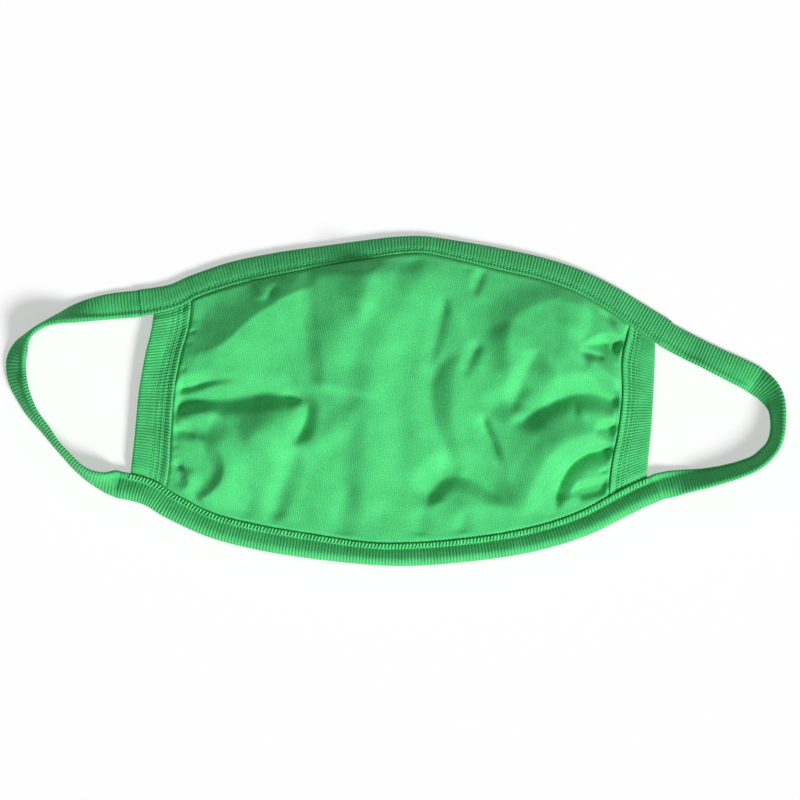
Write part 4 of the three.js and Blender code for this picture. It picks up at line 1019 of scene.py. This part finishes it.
def band(name, edges, material):
    """A folded side band between the two bindings, its ends flattened into them."""
    across, height, furrow, upper = slotted_skin(band_face, band_back, band_slot_share)
    ends = []
    for seam in (bottom_seam, top_seam):
        inner, outer = (corner(edges, side, seam) for side in ("inner", "outer"))
        held = seam_at(seam, inner[0] + (outer[0] - inner[0]) * across)
        ends.append((held, {"inner": inner[1], "outer": outer[1]}))
    (low, low_y), (high, high_y) = ends
    length = high_y["inner"] - low_y["inner"]
    rise = np.linspace(0, 1, stations_for(length))[:, None]
    y = low["y"][None] * (1 - rise) + high["y"][None] * rise
    inner_x, outer_x = (
        band_x(edges, side, low_y[side] * (1 - rise) + high_y[side] * rise) for side in ("inner", "outer")
    )
    x = inner_x + (outer_x - inner_x) * across[None]
    near_end = smooth_step(np.minimum(rise, 1 - rise) * length / band_end_reach)
    scale = band_end_height + (1 - band_end_height) * near_end
    raised = low["lift"][None] * (1 - rise) + high["lift"][None] * rise
    tilt = band_rise(y, low["y"][None], high["y"][None]) * (1 - across[None])
    rings = np.stack([x, y, height[None] * scale + np.maximum(raised, tilt)], -1)
    rings[..., 2] += bumps(rings, strip_ripples) * upper * near_end
    rings[..., 1] += bumps(rings, band_ripples) * near_end
    tabs = []
    for ring, seam in ((rings[0], low), (rings[-1], high)):
        for reach, sinking in ((band_tab_start, 0), (band_tab, 1)):
            tab = ring.copy()
            tab[:, 0] += seam["out_x"] * reach
            tab[:, 1] += seam["out_y"] * reach
            tab[:, 2] = slot_middle + seam["lift"] + (height / height.max() - 0.5) * band_tab_thickness
            tab[:, 2] -= sinking * seam["lift"] * reach / seam["width"]
            tabs.append(tab)
    rings = np.concatenate([tabs[1::-1], rings, tabs[2:]])
    along = np.concatenate([[0, 0], rise[:, 0] * length, [length, length]])
    strip = swept(name, rings, np.broadcast_to(furrow, rings.shape[:2]), along)
    return ribbed(strip, along, material), rings[2:-2]


# Painted shade: the side bands' rib is coloured a little darker than the jersey though it is the same dye,
# for the shade in its furrows.
band_knit = rib_material("side rib", (0.080, 0.62, 0.19), (0.040, 0.36, 0.11), painted_gap_shade=0.22)
# The needle lines lie in the grooves of the upper face, each row a little further along than the last.
needle_lines = 0.20, 0.325, 0.455
needle_start = 2.0
needle_end = 1.5
needle_shift = 0.3
for side, edges in (("left", left_band_edges), ("right", right_band_edges)):
    piece, band_rings = band(f"side_band_{side}_rib", edges, band_knit)
    length = run_length(band_rings.mean(1))[-1]
    places = np.arange(needle_start, length - needle_end, rib_pitch)
    needle_rows = [
        on_strip(band_rings, band_face, line, places + needle_shift * line) for line in needle_lines
    ]
    spots, runs, outwards = (np.concatenate(part) for part in zip(*needle_rows))
    row = stitch_rows(
        f"side_band_{side}_stitches", spots, runs, outwards, length=0.9, rise=0.16, radius=0.15,
    )
    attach(row, "root")
    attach(piece, "root")
    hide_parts(f"side_band_{side}")

# ---------------------------------------------------------------------------------------------------
# Ear loops: beyond the corners the same folded rib strips run on as flat straps and meet round the
# ears. They lie slack, turned on edge round their far ends.

# The strap's profile, at the same places across as the bindings', since it turns into them at the corners.
strap_face = rows(
    "across upper furrow",
    (0, 1.2, 1), (0.02, 1.75, 0.8), (0.05, 2.15, 0.7), (0.09, 2.35, 0.6), (0.13, 2.3, 0.5),
    (0.17, 2.1, 0.6), (0.21, 1.95, 0.7), (0.26, 1.95, 0.7), (0.31, 2.05, 0.6), (0.37, 2.15, 0.6),
    (0.44, 2.25, 0.6), (0.51, 2.35, 0.6), (0.58, 2.4, 0.6), (0.65, 2.4, 0.6), (0.72, 2.4, 0.7),
    (0.79, 2.35, 0.7), (0.85, 2.3, 0.7), (0.9, 2.2, 0.8), (0.94, 2.05, 0.8), (0.97, 1.8, 0.9),
    (0.99, 1.5, 1), (1, 1.2, 1),
)
strap_back = rows(
    "across lower furrow",
    (0, 1.1, 1), (0.05, 0.1, 1), (0.2, 0, 1), (0.4, 0, 1), (0.6, 0, 1), (0.8, 0, 1),
    (0.9, 0.05, 1), (0.95, 0.2, 1), (0.985, 0.65, 1),
)
# How far from a corner a strap still carries on the binding's direction, and its profile.
corner_run = 2.5
corner_blend = 12.0
route_detail = 600

# Middle line of each ear loop from the top corner round to the bottom corner, and the strap's width. Roll
# turns the strap about that line, in degrees: at 0 it lies flat, at 90 it stands on its edge with its
# inner edge on top, at -90 with its outer edge on top.
left_loop = rows(
    "x y roll width",
    (-110.4, 38.2, 12, 11), (-116.4, 37.4, 19, 11), (-122.8, 36.2, 34, 10.9), (-129.2, 34.6, 53, 10.7),
    (-135.6, 32.6, 74, 10.5), (-142, 29.6, 86, 10.5), (-146.8, 25.8, 77, 10.5), (-150, 21, 50, 10.8),
    (-151.7, 16, 38, 10.8), (-151.7, 11.4, 38, 10.8), (-150.6, 6.4, 46, 10.8), (-148.2, 0.6, 57, 10.6),
    (-144.6, -5.8, 66, 10.5), (-140, -11.4, 72, 10.5), (-135.6, -17.2, 77, 10.5),
    (-131.1, -22.3, 76, 10.5), (-126.6, -27, 73, 10.5), (-122.8, -29.8, 67, 10.6),
    (-119.6, -31.4, 58, 10.7), (-116.4, -32.6, 44, 10.8), (-113.4, -33.3, 24, 10.9),
)
right_loop = rows(
    "x y roll width",
    (117.2, 21.6, 26, 12), (123.6, 18.4, 31, 12.4), (130, 15.2, 29, 12.4), (136.4, 12.2, 20, 12),
    (142.8, 9, 6, 11.4), (147.8, 5.2, -18, 11), (151, 0.8, -42, 10.8), (152.6, -4, -60, 10.5),
    (152.8, -9.4, -66, 10.4), (152.2, -14.4, -68, 10.4), (150.4, -18.6, -67, 10.4),
    (147, -22.4, -64, 10.4), (142.8, -25.4, -62, 10.4), (136.4, -27.8, -57, 10.4),
    (130, -29.6, -52, 10.4), (123.6, -31, -44, 10.6), (117.2, -32, -34, 10.9), (111.6, -33, -18, 10.9),
)


def ear_loop(name, path, from_seam, to_seam, away, end):
    """A strap from one binding's end round to the other's, and how far along it each ring lies."""
    def knot(seam, distance):
        """A row of the route at a distance straight on from a binding's end."""
        x, y, out_x, out_y, width = (seam[key][end] for key in ("x", "y", "out_x", "out_y", "width"))
        ahead = np.array([abs(out_y), -np.sign(out_y) * out_x]) * away
        place = np.array([x + out_x * width / 2, y + out_y * width / 2]) + ahead * distance
        return (*place, np.degrees(np.arcsin(seam["lift"][end] / width)), width)

    route = rows(
        "x y roll width",
        knot(from_seam, 0), knot(from_seam, corner_run), *zip(*path.values()),
        knot(to_seam, corner_run), knot(to_seam, 0),
    )
    even = np.linspace(0, 1, route_detail)
    fine = read_rows(route, even)
    travelled = run_length(np.stack([fine["x"], fine["y"]], 1))
    count = stations_for(travelled[-1])
    along = np.linspace(0, travelled[-1], count)
    t = np.interp(along, travelled, even)
    at = read_rows(route, t)
    ahead = heading(route, t, 0.004)
    out = np.stack([-ahead[:, 1] * away, ahead[:, 0] * away, np.zeros(count)], 1)
    up = np.array([0, 0, 1.0])
    roll = np.radians(at["roll"])[:, None]
    sideways = out * np.cos(roll) - up * np.sin(roll)
    raised = up * np.cos(roll) + out * np.sin(roll)
    across, first_skin, first_furrow = skin(top_face, binding_back)
    _, strap_skin, strap_furrow = skin(strap_face, strap_back)
    _, last_skin, last_furrow = skin(bottom_face, binding_back)
    leaving = 1 - smooth_step(along / corner_blend)[:, None]
    joining = 1 - smooth_step((along[-1] - along) / corner_blend)[:, None]
    strap = 1 - leaving - joining
    height = first_skin * leaving + strap_skin * strap + last_skin * joining
    furrow = first_furrow * leaving + strap_furrow * strap + last_furrow * joining
    half_thick = (height[:, len(strap_back["across"]):].max(1, keepdims=True)) / 2
    centre = np.stack([at["x"], at["y"], np.zeros(count)], 1)
    rings = (
        centre[:, None]
        + sideways[:, None] * ((across[None] - 0.5) * at["width"][:, None])[..., None]
        + raised[:, None] * (height - half_thick)[..., None]
    )
    rings[..., 2] -= rings[..., 2].min(1, keepdims=True)
    rings += raised[:, None] * (bumps(rings, strip_ripples) * (height > half_thick))[..., None]
    strip = swept(name, rings, furrow, along)
    return ribbed(strip, along, shaded_rib_knit), along


for side, path, away, end in (("left", left_loop, -1, 0), ("right", right_loop, 1, -1)):
    piece, loop_along = ear_loop(f"ear_loop_{side}_rib", path, top_line, bottom_line, away, end)
    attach(piece, "root")
    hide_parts(f"ear_loop_{side}")

bpy.context.view_layer.update()
